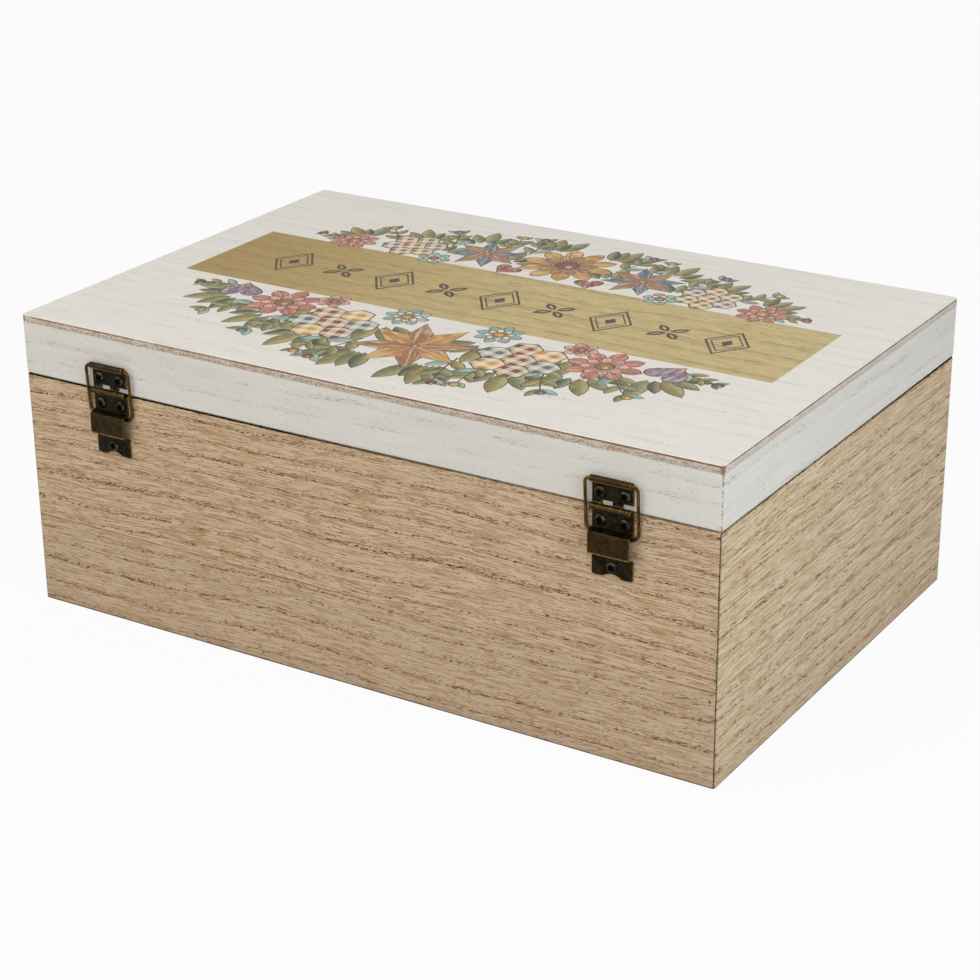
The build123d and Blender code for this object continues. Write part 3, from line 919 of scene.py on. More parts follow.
@dataclass(frozen=True)
class ScrewFinish:
    """A screw's darkened brass, with painted shade in its recess and on its outer rim, and a lighter ring
    round the recess that is partly rubbed brass and partly painted highlight.
    """

    name: str = "screw_brass_darkened"
    film: Colour = linear(33, 30, 23)
    shadow: Colour = linear(19, 17, 12)
    # The lighter ring: partly rubbed brass, partly painted highlight.
    ring: Colour = linear(94, 88, 73)
    # Painted shade in the recess and round the rim.
    recess: Colour = linear(7, 6, 4)
    mottle_size: float = 1.6
    mottled: Fade = Fade(0.35, 0.65)
    rubbed_and_lit_ring_mottled: Fade = Fade(0.4, 0.6)
    rubbed_and_lit_ring_start: Fade = Fade(0.56, 0.68)
    rubbed_and_lit_ring_end: Fade = Fade(0.93, 0.84)
    rim: Fade = Fade(0.9, 0.97)
    relief: float = 0.015

    def make(self) -> Material:
        """The material."""
        shader = Shader(self.name)
        out = shader.attribute("screw_radius", "Fac")
        mottle = shader.noise(value / self.mottle_size for value in shader.place())
        # Lighter ring round the recess, partly rubbed brass and partly painted highlight.
        ring = shader.ease(out, *self.rubbed_and_lit_ring_start) * shader.ease(out, *self.rubbed_and_lit_ring_end)
        colour = shader.layers(
            shader.mix(shader.ease(mottle, *self.mottled), self.shadow, self.film),
            (ring * (0.1 + 0.6 * shader.ease(mottle, *self.rubbed_and_lit_ring_mottled)), self.ring),
            # Painted shade round the head's rim and in the cross recess.
            (shader.ease(out, *self.rim), self.recess),
            (shader.attribute("screw_recess", "Fac"), self.recess),
        )
        return shader.finish(colour, 0.42 + 0.2 * mottle, mottle, self.relief, Metallic=1.0)


# ------------------------------------------------------------------ meshes
def put(name: str, mesh: Mesh) -> Object:
    """A new object that shows a mesh, at the origin."""
    piece = bpy.data.objects.new(name, mesh)
    bpy.context.scene.collection.objects.link(piece)
    return piece


def solid(name: str, points: Iterable[Sequence[float]], faces: Sequence[Sequence[int]] = ()) -> Mesh:
    """A mesh from points in millimetres and faces."""
    mesh = bpy.data.meshes.new(name)
    mesh.from_pydata([Vector(point) * MM for point in points], [], list(faces))
    return mesh


@contextmanager
def reshaped(mesh: Mesh, source: Mesh | None = None) -> Iterator[bmesh.types.BMesh]:
    """Opens a mesh for editing, from its own shape or another's, and writes the result back."""
    shape = bmesh.new()
    shape.from_mesh(mesh if source is None else source)
    yield shape
    shape.to_mesh(mesh)
    shape.free()


def settle(piece: Object) -> None:
    """Takes an object's modifiers into its mesh and removes them."""
    graph = bpy.context.evaluated_depsgraph_get()
    made = bpy.data.meshes.new_from_object(
        piece.evaluated_get(graph), preserve_all_data_layers=True, depsgraph=graph
    )
    piece.modifiers.clear()
    old, piece.data = piece.data, made
    bpy.data.meshes.remove(old)
    made.name = piece.name


def smooth(piece: Object) -> None:
    """Shades the piece smooth over its curves and flat over its flats."""
    piece.data.shade_smooth()
    piece.data.set_sharp_from_angle(angle=SHARP_ANGLE)
    weighted = piece.modifiers.new("Flat faces", "WEIGHTED_NORMAL")
    weighted.keep_sharp = True
    settle(piece)


def soften(piece: Object, width: float, finish: int = -1) -> None:
    """Eases the piece's sharp edges.

    Args:
        piece: The piece.
        width: How wide each eased edge is, in millimetres.
        finish: Which of the piece's materials the eased edges take, or -1 for the one beside them.
    """
    bevel = piece.modifiers.new("Eased edges", "BEVEL")
    bevel.width = width * MM
    bevel.segments = 2
    bevel.limit_method = "ANGLE"
    bevel.angle_limit = EDGE_ANGLE
    bevel.use_clamp_overlap = False
    bevel.material = finish
    settle(piece)
    smooth(piece)


def dressed(node: str, name: str, edge: float, *finishes: Material, eased: int = -1) -> Object:
    """A copy of a CAD node in its finishes, with whole faces and eased edges.

    Args:
        node: The CAD node.
        name: The piece's name.
        edge: How wide each eased edge is, in millimetres.
        *finishes: The piece's materials, in order.
        eased: Which of them the eased edges take, or -1 for the one beside them.

    Returns:
        The piece.
    """
    piece = put(name, bpy.data.meshes.new(name))
    with reshaped(piece.data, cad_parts[node].data) as shape:
        bmesh.ops.remove_doubles(shape, verts=shape.verts, dist=WELD)
        bmesh.ops.dissolve_limit(
            shape, angle_limit=FLAT_ANGLE, verts=shape.verts, edges=shape.edges, use_dissolve_boundaries=False
        )
    for finish in finishes:
        piece.data.materials.append(finish)
    soften(piece, edge, eased)
    return piece


def hand_over(piece: Object, body: str, slot: Slot, *nodes: str) -> None:
    """Gives a finished piece its body, and hides the CAD nodes that it stands for."""
    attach(piece, body)
    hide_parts(*nodes)
    LOG.info("%s: %d faces on %s", piece.name, len(piece.data.polygons), body)


# ------------------------------------------------------------------ geometry nodes
class Maker(Tree):
    """A Geometry Nodes tree with named inputs, whose result is taken as a plain mesh."""

    def __init__(self, name: str) -> None:
        super().__init__(bpy.data.node_groups.new(name, "GeometryNodeTree"))
        for way in ("INPUT", "OUTPUT"):
            self.tree.interface.new_socket("Geometry", in_out=way, socket_type="NodeSocketGeometry")
        self.source = self.add("NodeGroupInput")
        self.result = self.add("NodeGroupOutput")
        self.sockets: dict[str, str] = {}

    def ask(self, name: str, kind: str) -> Socket:
        """Adds a named input of a kind, such as Float, and returns what it gives."""
        made = self.tree.interface.new_socket(name, in_out="INPUT", socket_type=f"NodeSocket{kind}")
        self.sockets[name] = made.identifier
        return next(out for out in self.source.outputs if out.identifier == made.identifier)

    def ask_object(self, name: str) -> Socket:
        """Adds an object as a named input, and returns its geometry."""
        feeds = {"Object": self.ask(name, "Object")}
        return self.add("GeometryNodeObjectInfo", feeds, transform_space="ORIGINAL").outputs["Geometry"]

    def end(self, geometry: Socket) -> None:
        """Closes the tree with Realize Instances and Set Material."""
        real = self.add("GeometryNodeRealizeInstances", {"Geometry": geometry})
        finish = self.ask("Finish", "Material")
        done = self.add("GeometryNodeSetMaterial", {"Geometry": real.outputs[0], "Material": finish})
        self.feed(self.result.inputs[0], done.outputs[0])

    def make(self, name: str, base: Mesh, **values: Any) -> Object:
        """Runs the tree on a base mesh.

        Args:
            name: The new piece's name.
            base: The mesh that goes into the tree.
            **values: The named inputs, with _ for each space.

        Returns:
            The piece, as a plain mesh.
        """
        piece = put(name, base)
        modifier = piece.modifiers.new(name, "NODES")
        modifier.node_group = self.tree
        for key, value in values.items():
            modifier[self.sockets[key.replace("_", " ")]] = value
        settle(piece)
        return piece


def screw_maker() -> Maker:
    """A tree that seats one screw on each point, each turned by its own amount."""
    maker = Maker("Screws on a plate")
    screw = maker.ask_object("Screw")
    turn = maker.add(
        "FunctionNodeRandomValue", {2: 0.0, 3: maker.ask("Turn", "Float"), "Seed": maker.ask("Seed", "Int")}
    )
    lean = maker.add("ShaderNodeCombineXYZ", {0: maker.ask("Facing", "Float"), 1: turn.outputs[1]})
    seated = maker.add(
        "GeometryNodeInstanceOnPoints",
        {"Points": maker.source.outputs[0], "Instance": screw, "Rotation": lean.outputs[0]},
    )
    maker.end(seated.outputs[0])
    return maker


def seat_screws(
    maker: Maker, screw: Object, name: str, seats: Sequence[Vector], facing: int, seed: int, finish: Material
) -> Object:
    """Seats one screw on each of a plate's places.

    Args:
        maker: The tree that seats them.
        screw: The screw, which stands along Z.
        name: The piece's name.
        seats: The places under the heads, in millimetres.
        facing: The way the heads face: 1 for -Y and -1 for +Y.
        seed: The number that their turns come from.
        finish: Their finish.

    Returns:
        The piece.
    """
    return maker.make(
        name,
        solid("seats", seats),
        Screw=screw,
        Facing=facing * math.pi / 2,
        Turn=math.pi / 2,
        Seed=seed,
        Finish=finish,
    )


def row_maker() -> Maker:
    """A tree that repeats a board along X at an even pitch."""
    maker = Maker("Row of dividers")
    board = maker.ask_object("Board")
    step = maker.add("ShaderNodeCombineXYZ", {0: maker.ask("Pitch", "Float")})
    line = maker.add(
        "GeometryNodeMeshLine", {"Count": maker.ask("Count", "Int"), "Offset": step.outputs[0]}, mode="OFFSET"
    )
    placed = maker.add("GeometryNodeInstanceOnPoints", {"Points": line.outputs[0], "Instance": board})
    maker.end(placed.outputs[0])
    return maker


def bail_maker() -> Maker:
    """A tree that bends a closed loop of round wire with two pairs of corners."""
    maker = Maker("Wire bail")
    size = {"Width": maker.ask("Width", "Float"), "Height": maker.ask("Drop", "Float")}
    loop = maker.add("GeometryNodeCurvePrimitiveQuadrilateral", size)
    split = maker.add("ShaderNodeSeparateXYZ", {0: maker.add("GeometryNodeInputPosition").outputs[0]})
    upper = maker.add("ShaderNodeMath", {0: split.outputs[1], 1: 0.0}, operation="GREATER_THAN")
    radii = {2: maker.ask("Lower Corner", "Float"), 3: maker.ask("Upper Corner", "Float")}
    corner = maker.add("ShaderNodeMix", {0: upper.outputs[0], **radii})
    bend = {"Curve": loop.outputs[0], "Radius": corner.outputs[0], "Count": 8}
    bent = maker.add("GeometryNodeFilletCurve", bend, mode="POLY")
    section = {"Resolution": 20, "Radius": maker.ask("Wire Radius", "Float")}
    wire = maker.add("GeometryNodeCurvePrimitiveCircle", section)
    sweep = {"Curve": bent.outputs[0], "Profile Curve": wire.outputs[0], "Fill Caps": False}
    swept = maker.add("GeometryNodeCurveToMesh", sweep)
    smoothed = maker.add("GeometryNodeSetShadeSmooth", {"Geometry": swept.outputs[0]})
    hanging = {"Translation": maker.ask("Middle", "Vector"), "Rotation": maker.ask("Tilt", "Rotation")}
    hung = maker.add("GeometryNodeTransform", {"Geometry": smoothed.outputs[0], **hanging})
    maker.end(hung.outputs[0])
    return maker


# ------------------------------------------------------------------ the case
@dataclass
class Case:
    """Four veneered boards, the bottom panel and the ledges that carry the tray.

    A face that leans over by less than `upright` allows, and lies deeper than a board is thick, less a little
    `slack`, is a board's bare inner face.
    """

    board: float = 9.0
    edge: float = 0.07
    sanded_edge: float = 0.3
    sides: tuple[str, ...] = ("front", "back", "left", "right")
    upright: float = 0.7
    slack: float = 0.3

    def dress_board(self, node: str, name: str, outside: Material, inside: Material, block: Block) -> Object:
        """A softened copy of one board, with its inner face in bare wood."""
        piece = dressed(node, name, self.edge, outside, inside)
        limit = self.board - self.slack
        for face in piece.data.polygons:
            ends = block.half_length - abs(face.center.x) / MM
            sides = block.half_width - abs(face.center.y) / MM
            across = max(abs(face.normal.x), abs(face.normal.y)) > self.upright
            face.material_index = 1 if across and min(ends, sides) > limit else 0
        return piece

    def build(self, veneer: Material, plain: Plain) -> None:
        """Builds and hands over the case's pieces."""
        for side in self.sides:
            node = f"case_{side}_board"
            piece = self.dress_board(node, f"case_{side}_veneer", veneer, plain[run_of(side)], CASE_BLOCK)
            hand_over(piece, "case", Slot.VENEER, node)
        for node in ("case_bottom_panel", "tray_ledge_left", "tray_ledge_right"):
            piece = dressed(node, f"{node}_sanded", self.sanded_edge, plain[run_of(node)])
            hand_over(piece, "case", Slot.PLAIN, node)


# ------------------------------------------------------------------ the print
@dataclass(frozen=True)
class Patch:
    """One printed shape on the lid."""

    outline: tuple[Point, ...]
    kind: Print
    ink: Ink
    middle: Point = (0.0, 0.0)
    angle: float = 0.0
    half: Point = (1.0, 1.0)

    def spot(self, x: float, y: float) -> Point:
        """Where a point is in the patch's own frame, about -1 to 1 each way."""
        dx, dy = x - self.middle[0], y - self.middle[1]
        cos, sin = math.cos(self.angle), math.sin(self.angle)
        return (dx * cos + dy * sin) / self.half[0], (dy * cos - dx * sin) / self.half[1]


def swung(points: Iterable[Point], start: Point, angle: float) -> tuple[Point, ...]:
    """Points turned about the origin and moved to a start."""
    cos, sin = math.cos(angle), math.sin(angle)
    return tuple((start[0] + x * cos - y * sin, start[1] + x * sin + y * cos) for x, y in points)


def towards(start: Point, angle: float, length: float) -> Point:
    """The point at a distance from another, in a direction."""
    return start[0] + length * math.cos(angle), start[1] + length * math.sin(angle)


@dataclass
class Ornament:
    """Folk garlands round a plain plaque: quilt stars, patchwork, blossoms, hearts, leaves and berries."""

    plaque: tuple[float, float, float, float] = (-130.0, 131.0, -36.0, 22.8)
    pitch: float = 24.5
    lozenge: Point = (9.4, 13.4)
    ink_line: float = 0.4
    patches: list[Patch] = field(default_factory=list)

    def add(self, outline: Iterable[Point], kind: Print, ink: Ink, *spot: Any) -> None:
        """Adds one patch, with its middle, its angle and its half sizes where the ink needs them."""
        self.patches.append(Patch(tuple(outline), kind, ink, *spot))

    def shape(
        self,
        kind: Print,
        ink: Ink,
        start: Point,
        angle: float,
        length: float,
        width: float,
        belly: float,
        steps: int = 7,
    ) -> None:
        """Adds a leaf or a petal from its root, and the darker line round it.

        Args:
            kind: What it is.
            ink: Its colour.
            start: The place of its root.
            angle: The way it points.
            length: Its length.
            width: Its greatest width.
            belly: Where that width is: 1 in the middle, more for nearer the tip.
            steps: How many points each side has.
        """
        for grow, layer, colour in ((self.ink_line, Print.LINE, Ink.BROWN), (0.0, kind, ink)):
            long, half = length + 2 * grow, width / 2 + grow
            upper = [
                (long * step / steps - grow, half * math.sin(math.pi * (step / steps) ** belly) ** 0.8)
                for step in range(1, steps)
            ]
            ring = [(-grow, 0.0), *upper, (long - grow, 0.0), *((x, -y) for x, y in reversed(upper))]
            outline, middle = swung(reversed(ring), start, angle), towards(start, angle, length / 2)
            self.add(outline, layer, colour, middle, angle, (length / 2, width / 2))

    def bead(self, ink: Ink, middle: Point, radius: float, steps: int = 14, line: bool = True) -> None:
        """Adds a berry, a dot or a blossom's eye."""
        rounds = ((radius + self.ink_line, Print.LINE, Ink.BROWN), (radius, Print.BEAD, ink))
        for size, kind, colour in rounds if line else rounds[1:]:
            outline = (towards(middle, 2 * math.pi * step / steps, size) for step in range(steps))
            self.add(outline, kind, colour, middle, 0.0, (radius, radius))

    def stem(self, path: Sequence[Point], thick: float, thin: float, ink: Ink = Ink.MOSS) -> None:
        """Adds a tapering stem along a path."""
        left, right = [], []
        for index, point in enumerate(path):
            before, after = path[max(index - 1, 0)], path[min(index + 1, len(path) - 1)]
            turn = math.atan2(after[1] - before[1], after[0] - before[0]) + math.pi / 2
            half = (thick + (thin - thick) * index / (len(path) - 1)) / 2
            left.append(towards(point, turn, half))
            right.append(towards(point, turn, -half))
        self.add(right + left[::-1], Print.LINE, ink)

    def blossom(
        self, middle: Point, radius: float, outer: Ink, inner: Ink, eye: Ink, petals: int = 8
    ) -> None:
        """Adds a folk blossom of two rings of petals."""
        root = 0.14 * radius
        for reach, ink, offset, share in ((radius, outer, 0.0, 2.25), (0.62 * radius, inner, 0.5, 2.1)):
            width = share * math.pi * reach / petals / 2.1
            for index in range(petals):
                angle = 2 * math.pi * (index + offset) / petals
                self.shape(Print.PETAL, ink, towards(middle, angle, root), angle, reach - root, width, 1.55)
        self.bead(eye, middle, 0.24 * radius)
        for index in range(petals):
            dot = towards(middle, 2 * math.pi * (index + 0.5) / petals, 0.34 * radius)
            self.bead(Ink.BROWN, dot, 0.45, 8, False)

    def star(self, middle: Point, radius: float, inks: tuple[Ink, Ink], turn: float = math.pi / 8) -> None:
        """Adds an eight-pointed quilt star of diamonds in two colours."""
        side = radius / (2 * math.cos(math.pi / 8))
        for grow in (self.ink_line, 0.0):
            for index in range(8):
                angle = turn + index * math.pi / 4
                low, high = (towards(middle, angle + way * math.pi / 8, side + grow) for way in (-1, 1))
                outline = (middle, low, towards(middle, angle, radius + 2 * grow), high)
                kind, ink = (Print.LINE, Ink.BROWN) if grow else (Print.PETAL, inks[index % 2])
                centre = towards(middle, angle, radius / 2)
                self.add(outline, kind, ink, centre, angle, (radius / 2, radius / 4))
        self.bead(Ink.MUSTARD, middle, 1.6)

    def heart(self, middle: Point, size: float, ink: Ink, turn: float = 0.0, steps: int = 26) -> None:
        """Adds a heart with a line of dots inside it."""

        def ring(scale: float) -> tuple[Point, ...]:
            """The heart's outline at a width."""
            marks = []
            for step in range(steps):
                t = 2 * math.pi * step / steps
                x = 16 * math.sin(t) ** 3
                y = 13 * math.cos(t) - 5 * math.cos(2 * t) - 2 * math.cos(3 * t) - math.cos(4 * t)
                marks.append((-x * scale / 32, (y + 2.5) * scale / 32))
            return swung(marks, middle, turn)

        self.add(ring(size + 3 * self.ink_line), Print.LINE, Ink.BROWN)
        self.add(ring(size), Print.PETAL, ink, middle, turn + math.pi / 2, (size / 2, size / 2))
        for mark in ring(0.7 * size)[::2]:
            self.bead(Ink.CREAM, mark, 0.35, 6, False)

    def sprig(self, start: Point, angle: float, length: float, inks: Sequence[Ink], berry: Ink) -> None:
        """Adds a curving twig with three pairs of leaves and a berry at its tip."""
        bend, leaves = 0.35, 3
        path = [start]
        for step in range(8):
            path.append(towards(path[-1], angle + bend * (step / 8 - 0.5), length / 8))
        self.stem(path, 0.9, 0.5)
        for index in range(leaves):
            step = 1 + round(6 * index / (leaves - 1))
            heading = angle + bend * (step / 8 - 0.5)
            size = 0.42 * length * (1 - 0.35 * index / leaves)
            for side in (-1, 1):
                ink = inks[(index + (side > 0)) % len(inks)]
                self.shape(Print.LEAF, ink, path[step], heading + side * 0.75, size, 0.4 * size, 0.92)
        self.bead(berry, path[-1], 1.9)

    def patchwork(self, middle: Point, radius: float, inks: Sequence[Ink], turn: float = 0.0) -> None:
        """Adds six patchwork hexagons round a seventh."""
        size = radius / (1 + math.sqrt(3))
        for grow in (self.ink_line, -0.25):
            for index in range(-1, 6):
                away = 0.0 if index < 0 else size * math.sqrt(3)
                spot = towards(middle, turn + index * math.pi / 3, away)
                outline = (towards(spot, turn + (step + 0.5) * math.pi / 3, size + grow) for step in range(6))
                kind, ink = (Print.LINE, Ink.BROWN) if grow > 0 else (Print.CHECK, inks[index % len(inks)])
                self.add(outline, kind, ink, spot, turn, (size, size))

    def fan(self, start: Point, heading: float, spread: float, length: float, inks: Sequence[Ink]) -> None:
        """Adds leaves that open like a fan, one for each ink."""
        for index, ink in enumerate(inks):
            lean = heading + spread * (2 * index / (len(inks) - 1) - 1)
            size = length * (0.82 + 0.18 * math.cos(2.7 * index))
            root = towards(start, lean, 0.3 * length)
            self.shape(Print.LEAF, ink, root, lean, 0.7 * size, 0.27 * size, 0.92)

    def garland(self, side: int) -> None:
        """Adds one garland, the same on its left and right.

        Args:
            side: 1 for the one at the hinges, -1 for the lower one at the latch, which has another order.
        """
        edge, scale = (self.plaque[3], 1.0) if side > 0 else (self.plaque[2], 0.78)
        greens = (Ink.SAGE, Ink.MOSS, Ink.OLIVE, Ink.SAGE, Ink.MOSS)

        def at(x: float, out: float) -> Point:
            """A place along the plaque, so far out from it."""
            return x, edge + side * scale * out

        def turned(angle: float, flip: int) -> float:
            """An angle from straight out, leaning away from the middle."""
            return side * (math.pi / 2 - flip * angle)

        for flip in (-1, 1):
            for x, out, lean, spread, length in (
                (14, 38, 0.2, 0.5, 30), (42, 32, 0.25, 0.9, 29), (66, 24, 0.5, 0.9, 26),
                (90, 12, 0.85, 0.75, 27), (24, 12, 0.0, 0.9, 27), (55, 10, 0.3, 0.9, 24),
            ):
                self.fan(at(flip * x, out), turned(lean, flip), spread, scale * length, greens)
            for x, out, lean, length, berry in (
                (21, 34, 0.22, 27, Ink.BRICK), (54, 26, 0.45, 26, Ink.SLATE), (78, 20, 0.7, 24, Ink.MUSTARD),
                (99, 6, 1.25, 17, Ink.BRICK), (34, 38, 0.05, 20, Ink.MUSTARD),
            ):
                inks = (Ink.TEAL, Ink.OLIVE, Ink.SAGE)
                self.sprig(at(flip * x, out), turned(lean, flip), scale * length, inks, berry)
        for flip in (-1, 1):
            if side > 0:
                self.patchwork(at(flip * 41, 25), 18.5, (Ink.SLATE, Ink.MUSTARD, Ink.BRICK), 0.2 * flip)
                self.blossom(at(flip * 71, 15), 15.0, Ink.ROSE, Ink.BLUSH, Ink.TAN)
                self.heart(at(flip * 95, 9), 17.0, Ink.PLUM, 0.3 * flip)
                self.blossom(at(flip * 20.5, 5), 9.5, Ink.TEAL, Ink.CREAM, Ink.MUSTARD)
                self.blossom(at(flip * 55, 4), 7.0, Ink.BLUSH, Ink.ROSE, Ink.TAN, 6)
            else:
                self.star(at(flip * 36, 24), 16.5, (Ink.SLATE, Ink.TAN))
                self.patchwork(at(flip * 68, 17), 14.0, (Ink.PLUM, Ink.OLIVE, Ink.TAN), 0.4 * flip)
                self.blossom(at(flip * 94, 9), 10.5, Ink.ROSE, Ink.BLUSH, Ink.MUSTARD)
                self.heart(at(flip * 19, 6), 11.0, Ink.BRICK, math.pi - 0.3 * flip)
                self.blossom(at(flip * 52, 4), 7.0, Ink.TEAL, Ink.CREAM, Ink.TAN, 6)
        if side > 0:
            self.star(at(0, 31), 24.0, (Ink.TAN, Ink.MUSTARD))
        else:
            self.blossom(at(0, 28), 20.0, Ink.MUSTARD, Ink.TAN, Ink.BRICK, 10)

    def board(self) -> None:
        """Adds the plaque, with a row of outlined lozenges and small crosses along it."""
        left, right, low, high = self.plaque
        self.add(((right, low), (right, high), (left, high), (left, low)), Print.PLAQUE, Ink.WOOD)
        for index in range(-4, 5):
            middle = ((left + right) / 2 + self.pitch * index, (low + high) / 2)
            if index % 2:
                for turn in range(4):
                    heading = math.pi / 4 + turn * math.pi / 2
                    root = towards(middle, heading, 1.1)
                    self.shape(Print.LINE, Ink.BROWN, root, heading, 7.4, 3.2, 1.0)
                    self.shape(Print.PLAQUE, Ink.WOOD, towards(root, heading, 1.3), heading, 4.6, 1.0, 1.0)
                continue
            for layer, share in enumerate((1.0, 0.88, 0.74, 0.66, 0.26)):
                half, tall = (size * share for size in self.lozenge)
                corners = ((0, -1), (1, 0), (0, 1), (-1, 0))
                outline = ((middle[0] + half * x, middle[1] + tall * y) for x, y in corners)
                self.add(outline, Print.PLAQUE if layer % 2 else Print.LINE, Ink.BROWN)

    def design(self) -> list[Patch]:
        """All the printed patches, the lowest first."""
        self.board()
        self.garland(1)
        self.garland(-1)
        return self.patches


# ------------------------------------------------------------------ the lid
@dataclass
class Lid:
    """Four painted rails under a printed top panel."""

    corner: float = 1.2
    corner_steps: int = 5
    edge: float = 0.6
    edge_steps: int = 4
    block: Block = LID_BLOCK
    panel_base_z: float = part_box("lid_top_panel")[0].z / MM
    case: Case = field(default_factory=Case)

    def ring(self, inset: float, z: float) -> list[Vector]:
        """The panel's outline at one height, anticlockwise from above."""
        marks = []
        for index, (sx, sy) in enumerate(((1, 1), (-1, 1), (-1, -1), (1, -1))):
            middle = (sx * (self.block.half_length - self.corner), sy * (self.block.half_width - self.corner))
            for step in range(self.corner_steps + 1):
                x, y = towards(middle, math.pi / 2 * (index + step / self.corner_steps), self.corner - inset)
                marks.append(Vector((x, y, z)))
        return marks

    def printed_top(self, patches: Sequence[Patch]) -> tuple[list[Vector], list[list[int]], list[int]]:
        """The flat top cut along every printed outline.

        Args:
            patches: The printed shapes, the lowest first.

        Returns:
            The points, the faces, and for each face the patch on top there, or -1 for bare paint.
        """
        border = [point.to_2d() for point in self.ring(self.edge, self.block.top_z)]
        points, loops = list(border), [list(range(len(border)))]
        for patch in patches:
            loops.append(list(range(len(points), len(points) + len(patch.outline))))
            points.extend(Vector(mark) for mark in patch.outline)
        made, _, faces, _, _, origins = delaunay_2d_cdt(points, [], loops, INSIDE_ONLY, PRINT_JOIN)
        flat = [Vector((x, y, self.block.top_z)) for x, y in made]
        return flat, faces, [max(origin) - 1 for origin in origins]

    def sides(self) -> Iterator[list[Vector]]:
        """The rings of points from the flat top over the rounded edge and down to the underside."""
        for step in range(self.edge_steps + 1):
            turn = math.pi / 2 * step / self.edge_steps
            inset = self.edge * (1 - math.sin(turn))
            yield self.ring(inset, self.block.top_z - self.edge * (1 - math.cos(turn)))
        yield self.ring(0.0, self.panel_base_z)

    def panel(self, patches: Sequence[Patch], finish: Material, inside: Material) -> Object:
        """The top panel: its flat printed top, its rounded edge and its underside, as one closed mesh."""
        flat, faces, owners = self.printed_top(patches)
        rings = list(self.sides())
        points = [*flat, *(point for ring in rings for point in ring)]
        count = len(rings[0])
        for first in range(len(flat), len(points) - count, count):
            for index in range(count):
                after = (index + 1) % count
                faces.append([first + index, first + count + index, first + count + after, first + after])
        faces.append([len(points) - 1 - index for index in range(count)])
        owners.extend([-1] * (len(faces) - len(owners)))
        mesh = solid("lid_printed_panel", points, faces)
        self.carry_print(mesh, patches, owners)
        piece = put("lid_printed_panel", mesh)
        mesh.materials.append(finish)
        mesh.materials.append(inside)
        mesh.polygons[len(faces) - 1].material_index = 1
        with reshaped(mesh) as shape:
            bmesh.ops.remove_doubles(shape, verts=shape.verts, dist=PRINT_WELD)
        smooth(piece)
        return piece

    @staticmethod
    def carry_print(mesh: Mesh, patches: Sequence[Patch], owners: Sequence[int]) -> None:
        """Writes each face's patch into the mesh, for the paint to read."""
        kinds = mesh.attributes.new("print_kind", "FLOAT", "CORNER")
        inks = mesh.attributes.new("print_ink", "FLOAT_COLOR", "CORNER")
        places = mesh.attributes.new("print_place", "FLOAT_VECTOR", "CORNER")
        for face, owner in zip(mesh.polygons, owners):
            if owner < 0:
                continue
            patch = patches[owner]
            for loop in face.loop_indices:
                x, y, _ = mesh.vertices[mesh.loops[loop].vertex_index].co / MM
                kinds.data[loop].value = float(patch.kind.value)
                inks.data[loop].color = (*patch.ink.value, 1.0)
                places.data[loop].vector = (*patch.spot(x, y), 0.0)

    def build(self, paint: Material, printed: Material, plain: Plain) -> None:
        """Builds and hands over the lid's pieces."""
        for side in self.case.sides:
            node = f"lid_{side}_rail"
            piece = self.case.dress_board(node, f"lid_{side}_painted", paint, plain[run_of(side)], LID_BLOCK)
            hand_over(piece, "lid", Slot.PAINT, node)
        panel = self.panel(Ornament().design(), printed, plain[Run.LENGTHWAYS])
        hand_over(panel, "lid", Slot.PAINT, "lid_top_panel")


# ------------------------------------------------------------------ the tray
@dataclass
class Tray:
    """The lift-out tray: a floor, four walls, a long divider and two rows of cross dividers."""

    edge: float = 0.45
    boards: tuple[str, ...] = ("floor", "front_wall", "back_wall", "long_divider", "left_wall", "right_wall")
    rows: dict[str, int] = field(default_factory=lambda: {"front": 2, "back": 4})

    def build(self, plain: Plain) -> None:
        """Builds and hands over the tray's pieces."""
        for board in self.boards:
            node = f"tray_{board}"
            piece = dressed(node, f"{node}_sanded", self.edge, plain[run_of(node)])
            hand_over(piece, "tray", Slot.PLAIN, node)
        maker = row_maker()
        for row, count in self.rows.items():
            nodes = [f"tray_{row}_divider_{number}" for number in range(1, count + 1)]
            divider = dressed(nodes[0], f"{row}_divider_board", self.edge)
            piece = maker.make(
                f"tray_{row}_dividers",
                solid(f"{row}_row", []),
                Board=divider,
                Pitch=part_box(nodes[1])[0].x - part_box(nodes[0])[0].x,
                Count=count,
                Finish=plain[Run.CROSSWAYS],
            )
            bpy.data.objects.remove(divider)
            hand_over(piece, "tray", Slot.PLAIN, *nodes)


